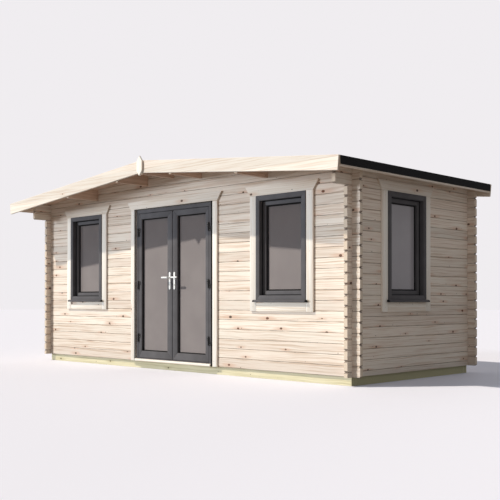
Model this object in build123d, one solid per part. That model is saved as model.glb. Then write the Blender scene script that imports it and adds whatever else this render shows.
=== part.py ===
"""A log cabin: interlocking log walls, a low gable roof, framed windows and a double door.

Millimetres, +Z up. The front gable faces -Y and the origin lies on the ground, under the middle
of the roof's outline.
"""
from build123d import *
import math
import os

# Log walls
WALL_WIDTH = 5440
WALL_DEPTH = 2270
LOG_THICKNESS = 44
LOG_COVER = 109
LOG_CHAMFER = 6
LOG_END_EASE = 14
NOTCH_DEPTH_SHARE = 0.5
FRONT_ARM = 98
SIDE_ARM = 76
PLATE_REACH = 265
SIDE_COURSES = 19
PLATE_COURSES = 2
SILL_COURSES = 7
HEAD_COURSES = 17.5
SEAT = 0.3
OVERRUN = 400

# Base
BEARER_HEIGHT = 90
BEARER_THICKNESS = 70
BEARER_INSET = 26
JOIST_THICKNESS = 45
JOIST_COUNT = 8
FLOOR_THICKNESS = 19
SILL_BOARD_HEIGHT = 28
SILL_BOARD_NOSE = 40

# Roof
ROOF_PITCH = 5.45
FRONT_OVERHANG = 500
BACK_OVERHANG = 115
SIDE_OVERHANG = 225
PURLIN_WIDTH = 44
PURLIN_HEIGHT = 140
INNER_PURLIN_PLACE = 497
OUTER_PURLIN_PLACE = 1555
ROOF_BOARD_THICKNESS = 19
FELT_THICKNESS = 3
FELT_DROP = 62
EAVE_BOARD_HEIGHT = 80
EAVE_BOARD_THICKNESS = 28
BARGE_HEIGHT = 145
BARGE_THICKNESS = 28
FINIAL_WIDTH = 105
FINIAL_HEIGHT = 240
FINIAL_POINT = 65
FINIAL_THICKNESS = 22
FINIAL_RISE = 55

# Windows
WINDOW_WIDTH = 715
WINDOW_SHIFT = 70
SIDE_WINDOW_PLACE = 941
WINDOW_DEPTH = 112
WINDOW_PROUD = 30
WINDOW_FACE = 56
SASH_FACE = 50
SASH_DEPTH = 56
SASH_RECESS = 52
PANE_THICKNESS = 20
PANE_RECESS = 32
CILL_HEIGHT = 26
CILL_DROP = 17
CILL_NOSE = 26
CILL_HORN = 30
TRIM_WIDTH = 95
TRIM_THICKNESS = 22
TRIM_FOOT_HEIGHT = 118
TRIM_HEAD_HEIGHT = 109
TRIM_HEAD_SPLAY = 74

# Double door
DOOR_WIDTH = 1400
DOOR_PROUD = 8
DOOR_FACE = 47
DOOR_SILL_HEIGHT = 12
STOP_DEPTH = 12
STOP_LIP = 15
LEAF_DEPTH = 56
LEAF_CLEARANCE = 5
MEETING_GAP = 9
LEAF_STILE = 88
LEAF_HINGE_STILE = 56
LEAF_TOP_RAIL = 68
LEAF_BOTTOM_RAIL = 84
LEAF_PANE_RECESS = 32

# Hinges
HINGE_FROM_BOTTOM = 248
HINGE_FROM_TOP = 234
HINGE_HEIGHT = 100
HINGE_RADIUS = 8
HINGE_STANDOFF = 11
HINGE_PIN_RADIUS = 4
HINGE_PIN_LENGTH = 40
HINGE_PIN_CLEARANCE = 0.1
HINGE_FLAG_WIDTH = 34
HINGE_FLAG_THICKNESS = 4
KNUCKLE_SIDES = 12

# Lever handles
LEVER_LEVEL = 1042
LEVER_PLACE_SHARE = 0.4375
PLATE_WIDTH = 30
PLATE_HEIGHT = 212
PLATE_THICKNESS = 8
PLATE_CORNER = 9
PLATE_BELOW_LEVER = 146
NECK_RADIUS = 9
NECK_LENGTH = 40
NECK_CLEARANCE = 0.6
NECK_SEAT = 4
SPINDLE_WIDTH = 8
SPINDLE_CLEARANCE = 1
LEVER_LENGTH = 112
LEVER_HEIGHT = 20
LEVER_THICKNESS = 13
LEVER_CORNER = 6

# Places worked out from the sizes above
HALF_WIDTH = WALL_WIDTH / 2
FRONT_FACE = (FRONT_OVERHANG - BACK_OVERHANG - WALL_DEPTH) / 2
BACK_FACE = FRONT_FACE + WALL_DEPTH
FRONT_AXIS = FRONT_FACE + LOG_THICKNESS / 2
BACK_AXIS = BACK_FACE - LOG_THICKNESS / 2
SIDE_AXIS = HALF_WIDTH - LOG_THICKNESS / 2
WALL_BASE = BEARER_HEIGHT
SLOPE = math.tan(math.radians(ROOF_PITCH))
STEEPNESS = math.cos(math.radians(ROOF_PITCH))
NOTCH = NOTCH_DEPTH_SHARE * LOG_COVER
TOP_NOTCH = NOTCH / 2
EAVE_LEVEL = WALL_BASE + (SIDE_COURSES + 1 / 2) * LOG_COVER
RIDGE_LEVEL = EAVE_LEVEL + HALF_WIDTH * SLOPE
SILL_LEVEL = WALL_BASE + SILL_COURSES * LOG_COVER
HEAD_LEVEL = WALL_BASE + HEAD_COURSES * LOG_COVER
ROOF_FRONT = FRONT_FACE - FRONT_OVERHANG + BARGE_THICKNESS
ROOF_BACK = BACK_FACE + BACK_OVERHANG - BARGE_THICKNESS
EAVE_REACH = HALF_WIDTH + SIDE_OVERHANG
WINDOW_PLACE = (HALF_WIDTH + DOOR_WIDTH / 2) / 2 + WINDOW_SHIFT
SIDE_WINDOW_AXIS = FRONT_FACE + SIDE_WINDOW_PLACE
PURLIN_PLACES = (
    -OUTER_PURLIN_PLACE,
    -INNER_PURLIN_PLACE,
    0,
    INNER_PURLIN_PLACE,
    OUTER_PURLIN_PLACE,
)
SIDES = {"left": -1, "right": 1}


def block(x, y, z):
    """Block between pairs of places along each axis, given in any order."""
    size = [abs(high - low) for low, high in (x, y, z)]
    middle = [(low + high) / 2 for low, high in (x, y, z)]
    return Pos(*middle) * Box(*size)


def roof_underside(x):
    """Level of the roof boards' underside at a place across the cabin."""
    return RIDGE_LEVEL - abs(x) * SLOPE


def upright_plate(points, y):
    """Plate with the given outline of (x, z) points, between two places along Y."""
    outline = Plane.XZ.offset(-max(y)) * Polygon(*points, align=None)
    return extrude(outline, amount=max(y) - min(y), dir=(0, -1, 0))


def cut_cornered_plate(x, z, corner, y):
    """Upright plate between pairs of places, with its four corners cut off."""
    (left, right), (low, high) = sorted(x), z
    points = [
        (left, low + corner),
        (left + corner, low),
        (right - corner, low),
        (right, low + corner),
        (right, high - corner),
        (right - corner, high),
        (left + corner, high),
        (left, high - corner),
    ]
    return upright_plate(points, y)


def solids_of(shapes):
    """All separate solids in a list of shapes."""
    found = []
    for shape in shapes:
        found.extend(shape.solids())
    return found


# Logs
def log_section():
    """Cross-section of a log: flat faces with a bevel along all four long edges."""
    half = LOG_THICKNESS / 2
    top = LOG_COVER - SEAT
    return [
        (-half, LOG_CHAMFER),
        (LOG_CHAMFER - half, 0),
        (half - LOG_CHAMFER, 0),
        (half, LOG_CHAMFER),
        (half, top - LOG_CHAMFER),
        (half - LOG_CHAMFER, top),
        (LOG_CHAMFER - half, top),
        (-half, top - LOG_CHAMFER),
    ]


def log_elevation(start, end, crossings, eased, below, above):
    """Side outline of a log, saddle-notched where another wall crosses it.

    The eased ends, out of "start" and "end", are bevelled below and above.
    """
    top = LOG_COVER - SEAT
    reach = LOG_THICKNESS / 2 + SEAT
    first = LOG_END_EASE if "start" in eased else 0
    last = LOG_END_EASE if "end" in eased else 0
    left = [(start, first), (start + first, 0)] if first else [(start, 0)]
    right = [(end - last, 0), (end, last)] if last else [(end, 0)]

    def edge(depth):
        """Lower edge from end to end with notches of one depth, drawn on Z = 0."""
        saddles = []
        for place in sorted(crossings) if depth else ():
            near, far = place - reach, place + reach
            saddles += [(near, 0), (near, depth), (far, depth), (far, 0)]
        return left + saddles + right

    return edge(below) + [(x, top - z) for x, z in reversed(edge(above))]


def make_log(start, end, crossings=(), eased=(), below=NOTCH, above=0):
    """A log along X, standing on Z = 0 and centred on Y = 0."""
    bar = extrude(Plane.YZ.offset(start) * Polygon(*log_section(), align=None), amount=end - start)
    outline = Plane.XZ * Polygon(*log_elevation(start, end, crossings, eased, below, above), align=None)
    return bar & extrude(outline, amount=LOG_THICKNESS, both=True)


def front_log(course, start, end, axis, crossings=(), eased=(), below=NOTCH):
    """A log of the front or back wall at a course counted from the bearers."""
    level = WALL_BASE + course * LOG_COVER
    return Pos(0, axis, level) * make_log(start, end, crossings, eased, below)


def side_log(course, start, end, side, crossings=(), eased=(), above=0):
    """A log of a side wall, half a course above the front wall's log of the same number."""
    level = WALL_BASE + (course + 1 / 2) * LOG_COVER
    log = make_log(start, end, crossings, eased, NOTCH, above)
    return Pos(side * SIDE_AXIS, 0, level) * Rot(0, 0, 90) * log


def under_roof():
    """The space below the roof boards, to trim the tops of the walls."""
    reach = HALF_WIDTH + OVERRUN
    points = [
        (-reach, 0),
        (reach, 0),
        (reach, roof_underside(reach) - SEAT),
        (0, RIDGE_LEVEL - SEAT),
        (-reach, roof_underside(reach) - SEAT),
    ]
    return upright_plate(points, (FRONT_FACE - OVERRUN, BACK_FACE + OVERRUN))


def purlin(place, gap=0):
    """A roof purlin with its top cut to the slope, grown all round by a gap for its slot."""
    half = PURLIN_WIDTH / 2 + gap
    low = roof_underside(place) - PURLIN_HEIGHT - gap
    top = -SEAT + gap
    points = [(place - half, low), (place + half, low), (place + half, roof_underside(place + half) + top)]
    if place == 0:
        points.append((place, RIDGE_LEVEL + top))
    points.append((place - half, roof_underside(place - half) + top))
    return upright_plate(points, (ROOF_FRONT + SEAT, ROOF_BACK - SEAT))


def opening_block(centre, width, sill):
    """Space of an opening through the front wall, a seat wider than its frame."""
    half = width / 2 + SEAT
    return block(
        (centre - half, centre + half),
        (FRONT_FACE - LOG_THICKNESS, FRONT_FACE + LOG_THICKNESS * 2),
        (sill - SEAT, HEAD_LEVEL + SEAT),
    )


def split_courses():
    """Courses of the front wall that the openings cut right through."""
    return range(SILL_COURSES, int(HEAD_COURSES))


def front_wall_half(side):
    """Logs of the front wall between a corner and the doorway, around the window."""
    corner = side * (HALF_WIDTH + FRONT_ARM)
    door_edge = side * (DOOR_WIDTH / 2 + SEAT)
    window_inner = side * (WINDOW_PLACE - WINDOW_WIDTH / 2 - SEAT)
    window_outer = side * (WINDOW_PLACE + WINDOW_WIDTH / 2 + SEAT)
    corner_end = "start" if side < 0 else "end"
    logs = []
    for course in range(int(HEAD_COURSES)):
        spans = [(corner, door_edge, True)]
        if course in split_courses():
            spans = [(corner, window_outer, True), (window_inner, door_edge, False)]
        for first, last, at_corner in spans:
            crossings = [side * SIDE_AXIS] if at_corner else []
            eased = [corner_end] if at_corner else []
            logs.append(front_log(course, min(first, last), max(first, last), FRONT_AXIS, crossings, eased))
    return logs


def gable_course_numbers(first):
    """Courses from a first one up to the ridge."""
    return range(first, math.ceil((RIDGE_LEVEL - WALL_BASE) / LOG_COVER))


def gable_logs(first, axis, trimming, slots):
    """Full-width logs of the front or back wall from a first course up, cut to the roof."""
    reach = HALF_WIDTH + FRONT_ARM
    logs = []
    for course in gable_course_numbers(first):
        low = WALL_BASE + course * LOG_COVER
        crosses = low < EAVE_LEVEL
        crossings = [-SIDE_AXIS, SIDE_AXIS] if crosses else []
        eased = ["start", "end"] if crosses else []
        below = TOP_NOTCH if low + LOG_COVER > EAVE_LEVEL else NOTCH
        log = front_log(course, -reach, reach, axis, crossings, eased, below)
        if low + LOG_COVER > roof_underside(reach) - PURLIN_HEIGHT:
            log = log & trimming
            for slot in slots:
                log = log - slot
        logs.append(log)
    return logs


def plain_courses():
    """Courses of the back wall that lie wholly below the gable."""
    return range(int(HEAD_COURSES))


def side_wall(side, trimming):
    """Logs of a side wall around its window, topped by the plates that reach forward."""
    front_end = FRONT_FACE - SIDE_ARM
    back_end = BACK_FACE + SIDE_ARM
    window_front = SIDE_WINDOW_AXIS - WINDOW_WIDTH / 2 - SEAT
    window_back = SIDE_WINDOW_AXIS + WINDOW_WIDTH / 2 + SEAT
    both = [FRONT_AXIS, BACK_AXIS]
    window = block(
        (side * (HALF_WIDTH - LOG_THICKNESS * 2), side * (HALF_WIDTH + LOG_THICKNESS)),
        (window_front, window_back),
        (SILL_LEVEL - SEAT, HEAD_LEVEL + SEAT),
    )
    above_bearers = block(
        (-HALF_WIDTH - OVERRUN, HALF_WIDTH + OVERRUN),
        (FRONT_FACE - OVERRUN, BACK_FACE + OVERRUN),
        (WALL_BASE, RIDGE_LEVEL),
    )
    logs = [side_log(-1, front_end, back_end, side, both, ["start", "end"]) & above_bearers]
    for course in range(SIDE_COURSES):
        low = WALL_BASE + (course + 1 / 2) * LOG_COVER
        is_plate = course >= SIDE_COURSES - PLATE_COURSES
        start = FRONT_FACE - PLATE_REACH if is_plate else front_end
        cut_through = low > SILL_LEVEL - SEAT and low + LOG_COVER < HEAD_LEVEL + 2 * SEAT
        if cut_through:
            logs.append(side_log(course, start, window_front, side, [FRONT_AXIS], ["start"]))
            logs.append(side_log(course, window_back, back_end, side, [BACK_AXIS], ["end"]))
            continue
        is_top = course == SIDE_COURSES - 1
        above = TOP_NOTCH if is_top else 0
        log = side_log(course, start, back_end, side, both, ["start", "end"], above)
        if low < HEAD_LEVEL and low + LOG_COVER > SILL_LEVEL:
            log = log - window
        if is_top:
            log = log & trimming
        logs.append(log)
    return logs


# Base
def bearers():
    """Treated timbers laid as a frame under the walls."""
    left = -HALF_WIDTH + BEARER_INSET
    front = FRONT_FACE + BEARER_INSET
    back = BACK_FACE - BEARER_INSET
    level = (0, BEARER_HEIGHT)
    ends = (front + BEARER_THICKNESS + SEAT, back - BEARER_THICKNESS - SEAT)
    return [
        block((left, -left), (front, front + BEARER_THICKNESS), level),
        block((left, -left), (back - BEARER_THICKNESS, back), level),
        block((left, left + BEARER_THICKNESS), ends, level),
        block((-left - BEARER_THICKNESS, -left), ends, level),
    ]


def joists():
    """Floor joists between the front and back bearers."""
    front = FRONT_FACE + BEARER_INSET + BEARER_THICKNESS + SEAT
    back = BACK_FACE - BEARER_INSET - BEARER_THICKNESS - SEAT
    clear_half = HALF_WIDTH - BEARER_INSET - BEARER_THICKNESS
    spacing = 2 * clear_half / (JOIST_COUNT + 1)
    places = [(number + 1) * spacing - clear_half for number in range(JOIST_COUNT)]
    half = JOIST_THICKNESS / 2
    return [block((x - half, x + half), (front, back), (0, BEARER_HEIGHT)) for x in places]


def floor():
    """Floor boarding laid on the bearers inside the walls and behind the door frame."""
    inside = HALF_WIDTH - LOG_THICKNESS - SEAT
    front = FRONT_FACE + LOG_THICKNESS + SEAT
    back = BACK_FACE - LOG_THICKNESS - SEAT
    sheet = block((-inside, inside), (front, back), (WALL_BASE, WALL_BASE + FLOOR_THICKNESS))
    half = DOOR_WIDTH / 2 + SEAT
    frame_back = FRONT_FACE - DOOR_PROUD + LEAF_DEPTH + LEAF_CLEARANCE + STOP_DEPTH + SEAT
    return sheet - block((-half, half), (front - SEAT, frame_back), (0, HEAD_LEVEL))


def door_sill_board():
    """Timber sill across the doorway, under the door frame, with a nose in front of the wall."""
    half = DOOR_WIDTH / 2
    front = FRONT_FACE - SILL_BOARD_NOSE
    back = FRONT_FACE - DOOR_PROUD + LEAF_DEPTH + LEAF_CLEARANCE + STOP_DEPTH
    return block((-half, half), (front, back), (WALL_BASE, WALL_BASE + SILL_BOARD_HEIGHT))


# Roof
def roof_slope(side, low, high, near, far):
    """Sloping sheet between two heights above the rafters' underside, from near to far."""
    points = [(near, low), (far, low), (far, high), (near, high)]
    outline = [(side * x, roof_underside(x) + rise / STEEPNESS) for x, rise in points]
    return upright_plate(outline, (ROOF_FRONT + SEAT, ROOF_BACK - SEAT))


def roof_felt(side):
    """Felt over one slope, folded down over the eave board."""
    low = ROOF_BOARD_THICKNESS
    high = low + FELT_THICKNESS
    edge = EAVE_REACH
    points = [
        (SEAT, roof_underside(0) + low / STEEPNESS),
        (edge, roof_underside(edge) + low / STEEPNESS),
        (edge, roof_underside(edge) - FELT_DROP),
        (edge + FELT_THICKNESS, roof_underside(edge) - FELT_DROP),
        (edge + FELT_THICKNESS, roof_underside(edge + FELT_THICKNESS) + high / STEEPNESS),
        (SEAT, roof_underside(0) + high / STEEPNESS),
    ]
    return upright_plate([(side * x, z) for x, z in points], (ROOF_FRONT + SEAT, ROOF_BACK - SEAT))


def eave_board(side):
    """Board under the outer edge of the roof boards."""
    inner = EAVE_REACH - EAVE_BOARD_THICKNESS
    low = roof_underside(EAVE_REACH) - EAVE_BOARD_HEIGHT
    points = [
        (inner, low),
        (EAVE_REACH, low),
        (EAVE_REACH, roof_underside(EAVE_REACH) - SEAT),
        (inner, roof_underside(inner) - SEAT),
    ]
    return upright_plate([(side * x, z) for x, z in points], (ROOF_FRONT + SEAT, ROOF_BACK - SEAT))


def bargeboard(side, outer):
    """Board along one slope of a gable, plumb at the ridge and square-cut at the eave."""
    top = ROOF_BOARD_THICKNESS + FELT_THICKNESS
    low = top - BARGE_HEIGHT
    end = EAVE_REACH + FELT_THICKNESS
    lean = BARGE_HEIGHT * math.sin(math.radians(ROOF_PITCH))
    points = [
        (SEAT, roof_underside(0) + low / STEEPNESS),
        (end - lean, roof_underside(end - lean) + low / STEEPNESS),
        (end, roof_underside(end) + top / STEEPNESS),
        (SEAT, roof_underside(0) + top / STEEPNESS),
    ]
    inward = BARGE_THICKNESS if outer < 0 else -BARGE_THICKNESS
    return upright_plate([(side * x, z) for x, z in points], (outer, outer + inward))


def finial(outer):
    """Pointed board that covers the meeting of two bargeboards."""
    high = RIDGE_LEVEL + (ROOF_BOARD_THICKNESS + FELT_THICKNESS) / STEEPNESS + FINIAL_RISE
    low = high - FINIAL_HEIGHT
    half = FINIAL_WIDTH / 2
    points = [
        (0, low),
        (half, low + FINIAL_POINT),
        (half, high - FINIAL_POINT),
        (0, high),
        (-half, high - FINIAL_POINT),
        (-half, low + FINIAL_POINT),
    ]
    outward = -FINIAL_THICKNESS if outer < 0 else FINIAL_THICKNESS
    return upright_plate(points, (outer, outer + outward))


# Windows, modelled facing -Y with the wall's face on Y = 0 and the opening's middle on X = 0
def ring(half, low, high, face, y):
    """Rectangular frame of one face width between two places along Y."""
    outer = block((-half, half), y, (low, high))
    hole = block((face - half, half - face), (min(y) - OVERRUN, max(y) + OVERRUN), (low + face, high - face))
    return outer - hole


def window_frame():
    """Outer frame, standing a little proud of the trim, with a drip cill along its foot."""
    half = WINDOW_WIDTH / 2
    front = -WINDOW_PROUD
    frame = ring(half, SILL_LEVEL, HEAD_LEVEL, WINDOW_FACE, (front, front + WINDOW_DEPTH))
    wide = half + CILL_HORN
    nose = (front - CILL_NOSE, front)
    low = SILL_LEVEL - CILL_DROP
    cill = block((-wide, wide), nose, (low, low + CILL_HEIGHT))
    return frame + cill


def window_sash():
    """Sash set back inside the frame."""
    half = WINDOW_WIDTH / 2 - WINDOW_FACE - SEAT
    front = SASH_RECESS - WINDOW_PROUD
    low = SILL_LEVEL + WINDOW_FACE + SEAT
    high = HEAD_LEVEL - WINDOW_FACE - SEAT
    return ring(half, low, high, SASH_FACE, (front, front + SASH_DEPTH))


def window_pane():
    """Sealed pane inside the sash."""
    rim = WINDOW_FACE + SASH_FACE + 2 * SEAT
    half = WINDOW_WIDTH / 2 - rim
    front = SASH_RECESS - WINDOW_PROUD + PANE_RECESS
    return block((-half, half), (front, front + PANE_THICKNESS), (SILL_LEVEL + rim, HEAD_LEVEL - rim))


def head_trim(half, level):
    """Head board over an opening, its ends splayed outwards."""
    foot = half + TRIM_WIDTH
    crown = foot + TRIM_HEAD_SPLAY
    top = level + TRIM_HEAD_HEIGHT
    return upright_plate([(-foot, level), (foot, level), (crown, top), (-crown, top)], (-TRIM_THICKNESS, 0))


def side_trims(half, low, high):
    """Pair of upright boards beside an opening."""
    return [
        block((side * half, side * (half + TRIM_WIDTH)), (-TRIM_THICKNESS, 0), (low, high))
        for side in SIDES.values()
    ]


def window_trim():
    """Boards round a window: two sides, a foot between them and a splayed head."""
    half = WINDOW_WIDTH / 2 + SEAT
    low = SILL_LEVEL - SEAT - TRIM_FOOT_HEIGHT
    foot = block((SEAT - half, half - SEAT), (-TRIM_THICKNESS, 0), (low, SILL_LEVEL - SEAT))
    head = head_trim(half, HEAD_LEVEL + SEAT)
    return side_trims(half, low, HEAD_LEVEL) + [foot, head]


def window_places():
    """Where each window stands: a place and a turn for the model facing -Y."""
    places = {}
    for name, side in SIDES.items():
        places[f"front_{name}"] = Pos(side * WINDOW_PLACE, FRONT_FACE, 0)
        places[f"{name}_side"] = Pos(side * HALF_WIDTH, SIDE_WINDOW_AXIS, 0) * Rot(0, 0, side * 90)
    return places


# Double door, in place in the front wall
DOOR_FRONT = FRONT_FACE - DOOR_PROUD
LEAF_BACK = DOOR_FRONT + LEAF_DEPTH
LEAF_OUTER = DOOR_WIDTH / 2 - DOOR_FACE - LEAF_CLEARANCE
LEAF_INNER = MEETING_GAP / 2
DOOR_BASE = WALL_BASE + SILL_BOARD_HEIGHT
LEAF_LOW = DOOR_BASE + DOOR_SILL_HEIGHT + LEAF_CLEARANCE
LEAF_HIGH = HEAD_LEVEL - DOOR_FACE - LEAF_CLEARANCE
HINGE_AXIS_X = LEAF_OUTER + LEAF_CLEARANCE / 2
HINGE_AXIS_Y = DOOR_FRONT - HINGE_STANDOFF
HINGE_LEVELS = (
    LEAF_LOW + HINGE_FROM_BOTTOM,
    (LEAF_LOW + HINGE_FROM_BOTTOM + LEAF_HIGH - HINGE_FROM_TOP) / 2,
    LEAF_HIGH - HINGE_FROM_TOP,
)
LEVER_AXIS_X = LEAF_INNER + LEAF_STILE * LEVER_PLACE_SHARE
LEVER_AXIS_Z = WALL_BASE + LEVER_LEVEL


def door_frame():
    """Outer frame with a stop all round behind the leaves."""
    half = DOOR_WIDTH / 2
    back = LEAF_BACK + LEAF_CLEARANCE + STOP_DEPTH
    body = block((-half, half), (DOOR_FRONT, back), (DOOR_BASE, HEAD_LEVEL))
    clear = half - DOOR_FACE
    low = DOOR_BASE + DOOR_SILL_HEIGHT
    high = HEAD_LEVEL - DOOR_FACE
    rebate = block((-clear, clear), (DOOR_FRONT - OVERRUN, LEAF_BACK + LEAF_CLEARANCE), (low, high))
    stop = clear - STOP_LIP
    way = block((-stop, stop), (DOOR_FRONT, back + OVERRUN), (low, high - STOP_LIP))
    return body - rebate - way


def door_leaf(side):
    """Glazed leaf with a hole for the handle's spindle in its lock stile."""
    body = block((side * LEAF_INNER, side * LEAF_OUTER), (DOOR_FRONT, LEAF_BACK), (LEAF_LOW, LEAF_HIGH))
    hole = block(
        (side * (LEAF_INNER + LEAF_STILE), side * (LEAF_OUTER - LEAF_HINGE_STILE)),
        (DOOR_FRONT - OVERRUN, LEAF_BACK + OVERRUN),
        (LEAF_LOW + LEAF_BOTTOM_RAIL, LEAF_HIGH - LEAF_TOP_RAIL),
    )
    radius = SPINDLE_WIDTH / math.sqrt(2) + SPINDLE_CLEARANCE
    return body - hole - lever_hole(side, radius, DOOR_FRONT, LEAF_BACK)


def leaf_pane(side):
    """Sealed pane in a leaf."""
    front = DOOR_FRONT + LEAF_PANE_RECESS
    return block(
        (side * (LEAF_INNER + LEAF_STILE + SEAT), side * (LEAF_OUTER - LEAF_HINGE_STILE - SEAT)),
        (front, front + PANE_THICKNESS),
        (LEAF_LOW + LEAF_BOTTOM_RAIL + SEAT, LEAF_HIGH - LEAF_TOP_RAIL - SEAT),
    )


def on_lever_axis(side, outline, start, end):
    """Outline extruded on a handle's axis between two places along Y."""
    face = Plane.XZ.offset(-end) * Pos(side * LEVER_AXIS_X, LEVER_AXIS_Z) * outline
    return extrude(face, amount=end - start, dir=(0, -1, 0))


def lever_hole(side, radius, start, end):
    """Many-sided hole on a handle's axis that clears a radius."""
    return on_lever_axis(side, RegularPolygon(radius, KNUCKLE_SIDES, major_radius=False), start, end)


def handle_plates(side):
    """Long plates on both faces of a leaf, each with a hole for the lever's neck."""
    half = PLATE_WIDTH / 2
    middle = side * LEVER_AXIS_X
    low = LEVER_AXIS_Z - PLATE_BELOW_LEVER
    width = (middle - half, middle + half)
    level = (low, low + PLATE_HEIGHT)
    plates = []
    for front in (DOOR_FRONT - PLATE_THICKNESS, LEAF_BACK):
        back = front + PLATE_THICKNESS
        plate = cut_cornered_plate(width, level, PLATE_CORNER, (front, back))
        plates.append(plate - lever_hole(side, NECK_RADIUS + NECK_CLEARANCE, front, back))
    return plates


def lever(side):
    """Lever handles on both faces of a leaf, on one square spindle."""
    outside = DOOR_FRONT - PLATE_THICKNESS - NECK_LENGTH
    inside = LEAF_BACK + PLATE_THICKNESS + NECK_LENGTH
    handle = on_lever_axis(side, Rectangle(SPINDLE_WIDTH, SPINDLE_WIDTH), outside, inside)
    necks = ((outside, DOOR_FRONT - NECK_SEAT), (LEAF_BACK + NECK_SEAT, inside))
    for start, end in necks:
        handle += on_lever_axis(side, Circle(NECK_RADIUS), start, end)
    half = LEVER_HEIGHT / 2
    tip = side * (LEVER_AXIS_X + LEVER_LENGTH - half)
    heel = side * (LEVER_AXIS_X - half)
    for front in (outside - LEVER_THICKNESS, inside):
        level = (LEVER_AXIS_Z - half, LEVER_AXIS_Z + half)
        handle += cut_cornered_plate((heel, tip), level, LEVER_CORNER, (front, front + LEVER_THICKNESS))
    return handle


def hinge_half(side, toward, low, high):
    """Knuckle and flag of one hinge half between two levels; toward says which way the flag lies."""
    axis = side * HINGE_AXIS_X
    outline = Pos(axis, HINGE_AXIS_Y, low) * RegularPolygon(HINGE_RADIUS, KNUCKLE_SIDES)
    knuckle = extrude(outline, amount=high - low)
    web = block((axis, axis + toward * HINGE_RADIUS), (HINGE_AXIS_Y, DOOR_FRONT), (low, high))
    flag = block(
        (axis + toward * LEAF_CLEARANCE / 2, axis + toward * HINGE_FLAG_WIDTH),
        (DOOR_FRONT - HINGE_FLAG_THICKNESS, DOOR_FRONT),
        (low, high),
    )
    return knuckle + web + flag


def frame_hinges():
    """Fixed halves of all hinges, each with a pin standing up from its knuckle."""
    halves = []
    for side in SIDES.values():
        for level in HINGE_LEVELS:
            top = level - SEAT
            fixed = hinge_half(side, side, level - HINGE_HEIGHT / 2, top)
            pin = Cylinder(HINGE_PIN_RADIUS, HINGE_PIN_LENGTH, align=(Align.CENTER, Align.CENTER, Align.MIN))
            halves.append(fixed + Pos(side * HINGE_AXIS_X, HINGE_AXIS_Y, top) * pin)
    return halves


def leaf_hinges(side):
    """Moving halves of one leaf's hinges, with bores over the pins."""
    radius = HINGE_PIN_RADIUS + HINGE_PIN_CLEARANCE
    halves = []
    for level in HINGE_LEVELS:
        bore = RegularPolygon(radius, KNUCKLE_SIDES, major_radius=False)
        place = Pos(side * HINGE_AXIS_X, HINGE_AXIS_Y, level)
        halves.append(
            hinge_half(side, -side, level, level + HINGE_HEIGHT / 2)
            - extrude(place * bore, amount=HINGE_HEIGHT / 2)
        )
    return halves


def door_trim():
    """Boards beside and over the doorway."""
    half = DOOR_WIDTH / 2 + SEAT
    boards = side_trims(half, WALL_BASE, HEAD_LEVEL) + [head_trim(half, HEAD_LEVEL + SEAT)]
    return [Pos(0, FRONT_FACE, 0) * board for board in boards]


def build_nodes():
    """Every named piece of the cabin with its solids."""
    trimming = under_roof()
    slots = [purlin(place, SEAT) for place in PURLIN_PLACES]
    head_openings = [opening_block(0, DOOR_WIDTH, WALL_BASE)]
    head_openings += [
        opening_block(side * WINDOW_PLACE, WINDOW_WIDTH, SILL_LEVEL) for side in SIDES.values()
    ]
    front_gable = gable_logs(int(HEAD_COURSES), FRONT_AXIS, trimming, slots)
    for opening in head_openings:
        front_gable[0] = front_gable[0] - opening
    reach = HALF_WIDTH + FRONT_ARM
    crossings = [-SIDE_AXIS, SIDE_AXIS]
    back_wall = [
        front_log(course, -reach, reach, BACK_AXIS, crossings, ["start", "end"]) for course in plain_courses()
    ]
    gable_ends = (FRONT_FACE - FRONT_OVERHANG, BACK_FACE + BACK_OVERHANG)
    nodes = {
        "foundation_bearers": bearers(),
        "floor_joists": joists(),
        "floor_boards": [floor()],
        "door_sill_board": [door_sill_board()],
        "front_wall_gable_logs": front_gable,
        "back_wall_logs": back_wall,
        "back_wall_gable_logs": gable_logs(int(HEAD_COURSES), BACK_AXIS, trimming, slots),
        "roof_purlins": [purlin(place) for place in PURLIN_PLACES],
        "eave_boards": [eave_board(side) for side in SIDES.values()],
        "front_bargeboards": [bargeboard(side, gable_ends[0]) for side in SIDES.values()],
        "back_bargeboards": [bargeboard(side, gable_ends[1]) for side in SIDES.values()],
        "gable_finials": [finial(end) for end in gable_ends],
        "door_frame": [door_frame()],
        "door_trim": door_trim(),
        "door_hinge_posts": frame_hinges(),
    }
    for name, side in SIDES.items():
        nodes[f"front_wall_{name}_logs"] = front_wall_half(side)
        nodes[f"{name}_wall_logs"] = side_wall(side, trimming)
        nodes[f"{name}_roof_boards"] = [roof_slope(side, 0, ROOF_BOARD_THICKNESS, SEAT, EAVE_REACH)]
        nodes[f"{name}_roof_felt"] = [roof_felt(side)]
        nodes[f"{name}_door_leaf"] = [door_leaf(side)]
        nodes[f"{name}_door_pane"] = [leaf_pane(side)]
        nodes[f"{name}_door_hinges"] = leaf_hinges(side)
        nodes[f"{name}_handle_plates"] = handle_plates(side)
        nodes[f"{name}_lever"] = [lever(side)]
    places = window_places()
    for name, place in places.items():
        nodes[f"{name}_window_frame"] = [place * window_frame()]
        nodes[f"{name}_window_sash"] = [place * window_sash()]
    nodes["window_panes"] = [place * window_pane() for place in places.values()]
    nodes["window_trims"] = [place * board for place in places.values() for board in window_trim()]
    return nodes


def main():
    """Write one STEP file for each named piece."""
    os.makedirs("parts", exist_ok=True)
    for name, shapes in build_nodes().items():
        export_step(Compound(children=solids_of(shapes)), f"parts/{name}.step")


main()
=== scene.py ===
"""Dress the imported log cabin: its finishes, boarding and fittings, in a plain studio."""

import logging
import math
from collections.abc import Callable, Iterator
from contextlib import contextmanager
from dataclasses import dataclass, replace
from enum import Enum
from typing import ClassVar

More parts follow.
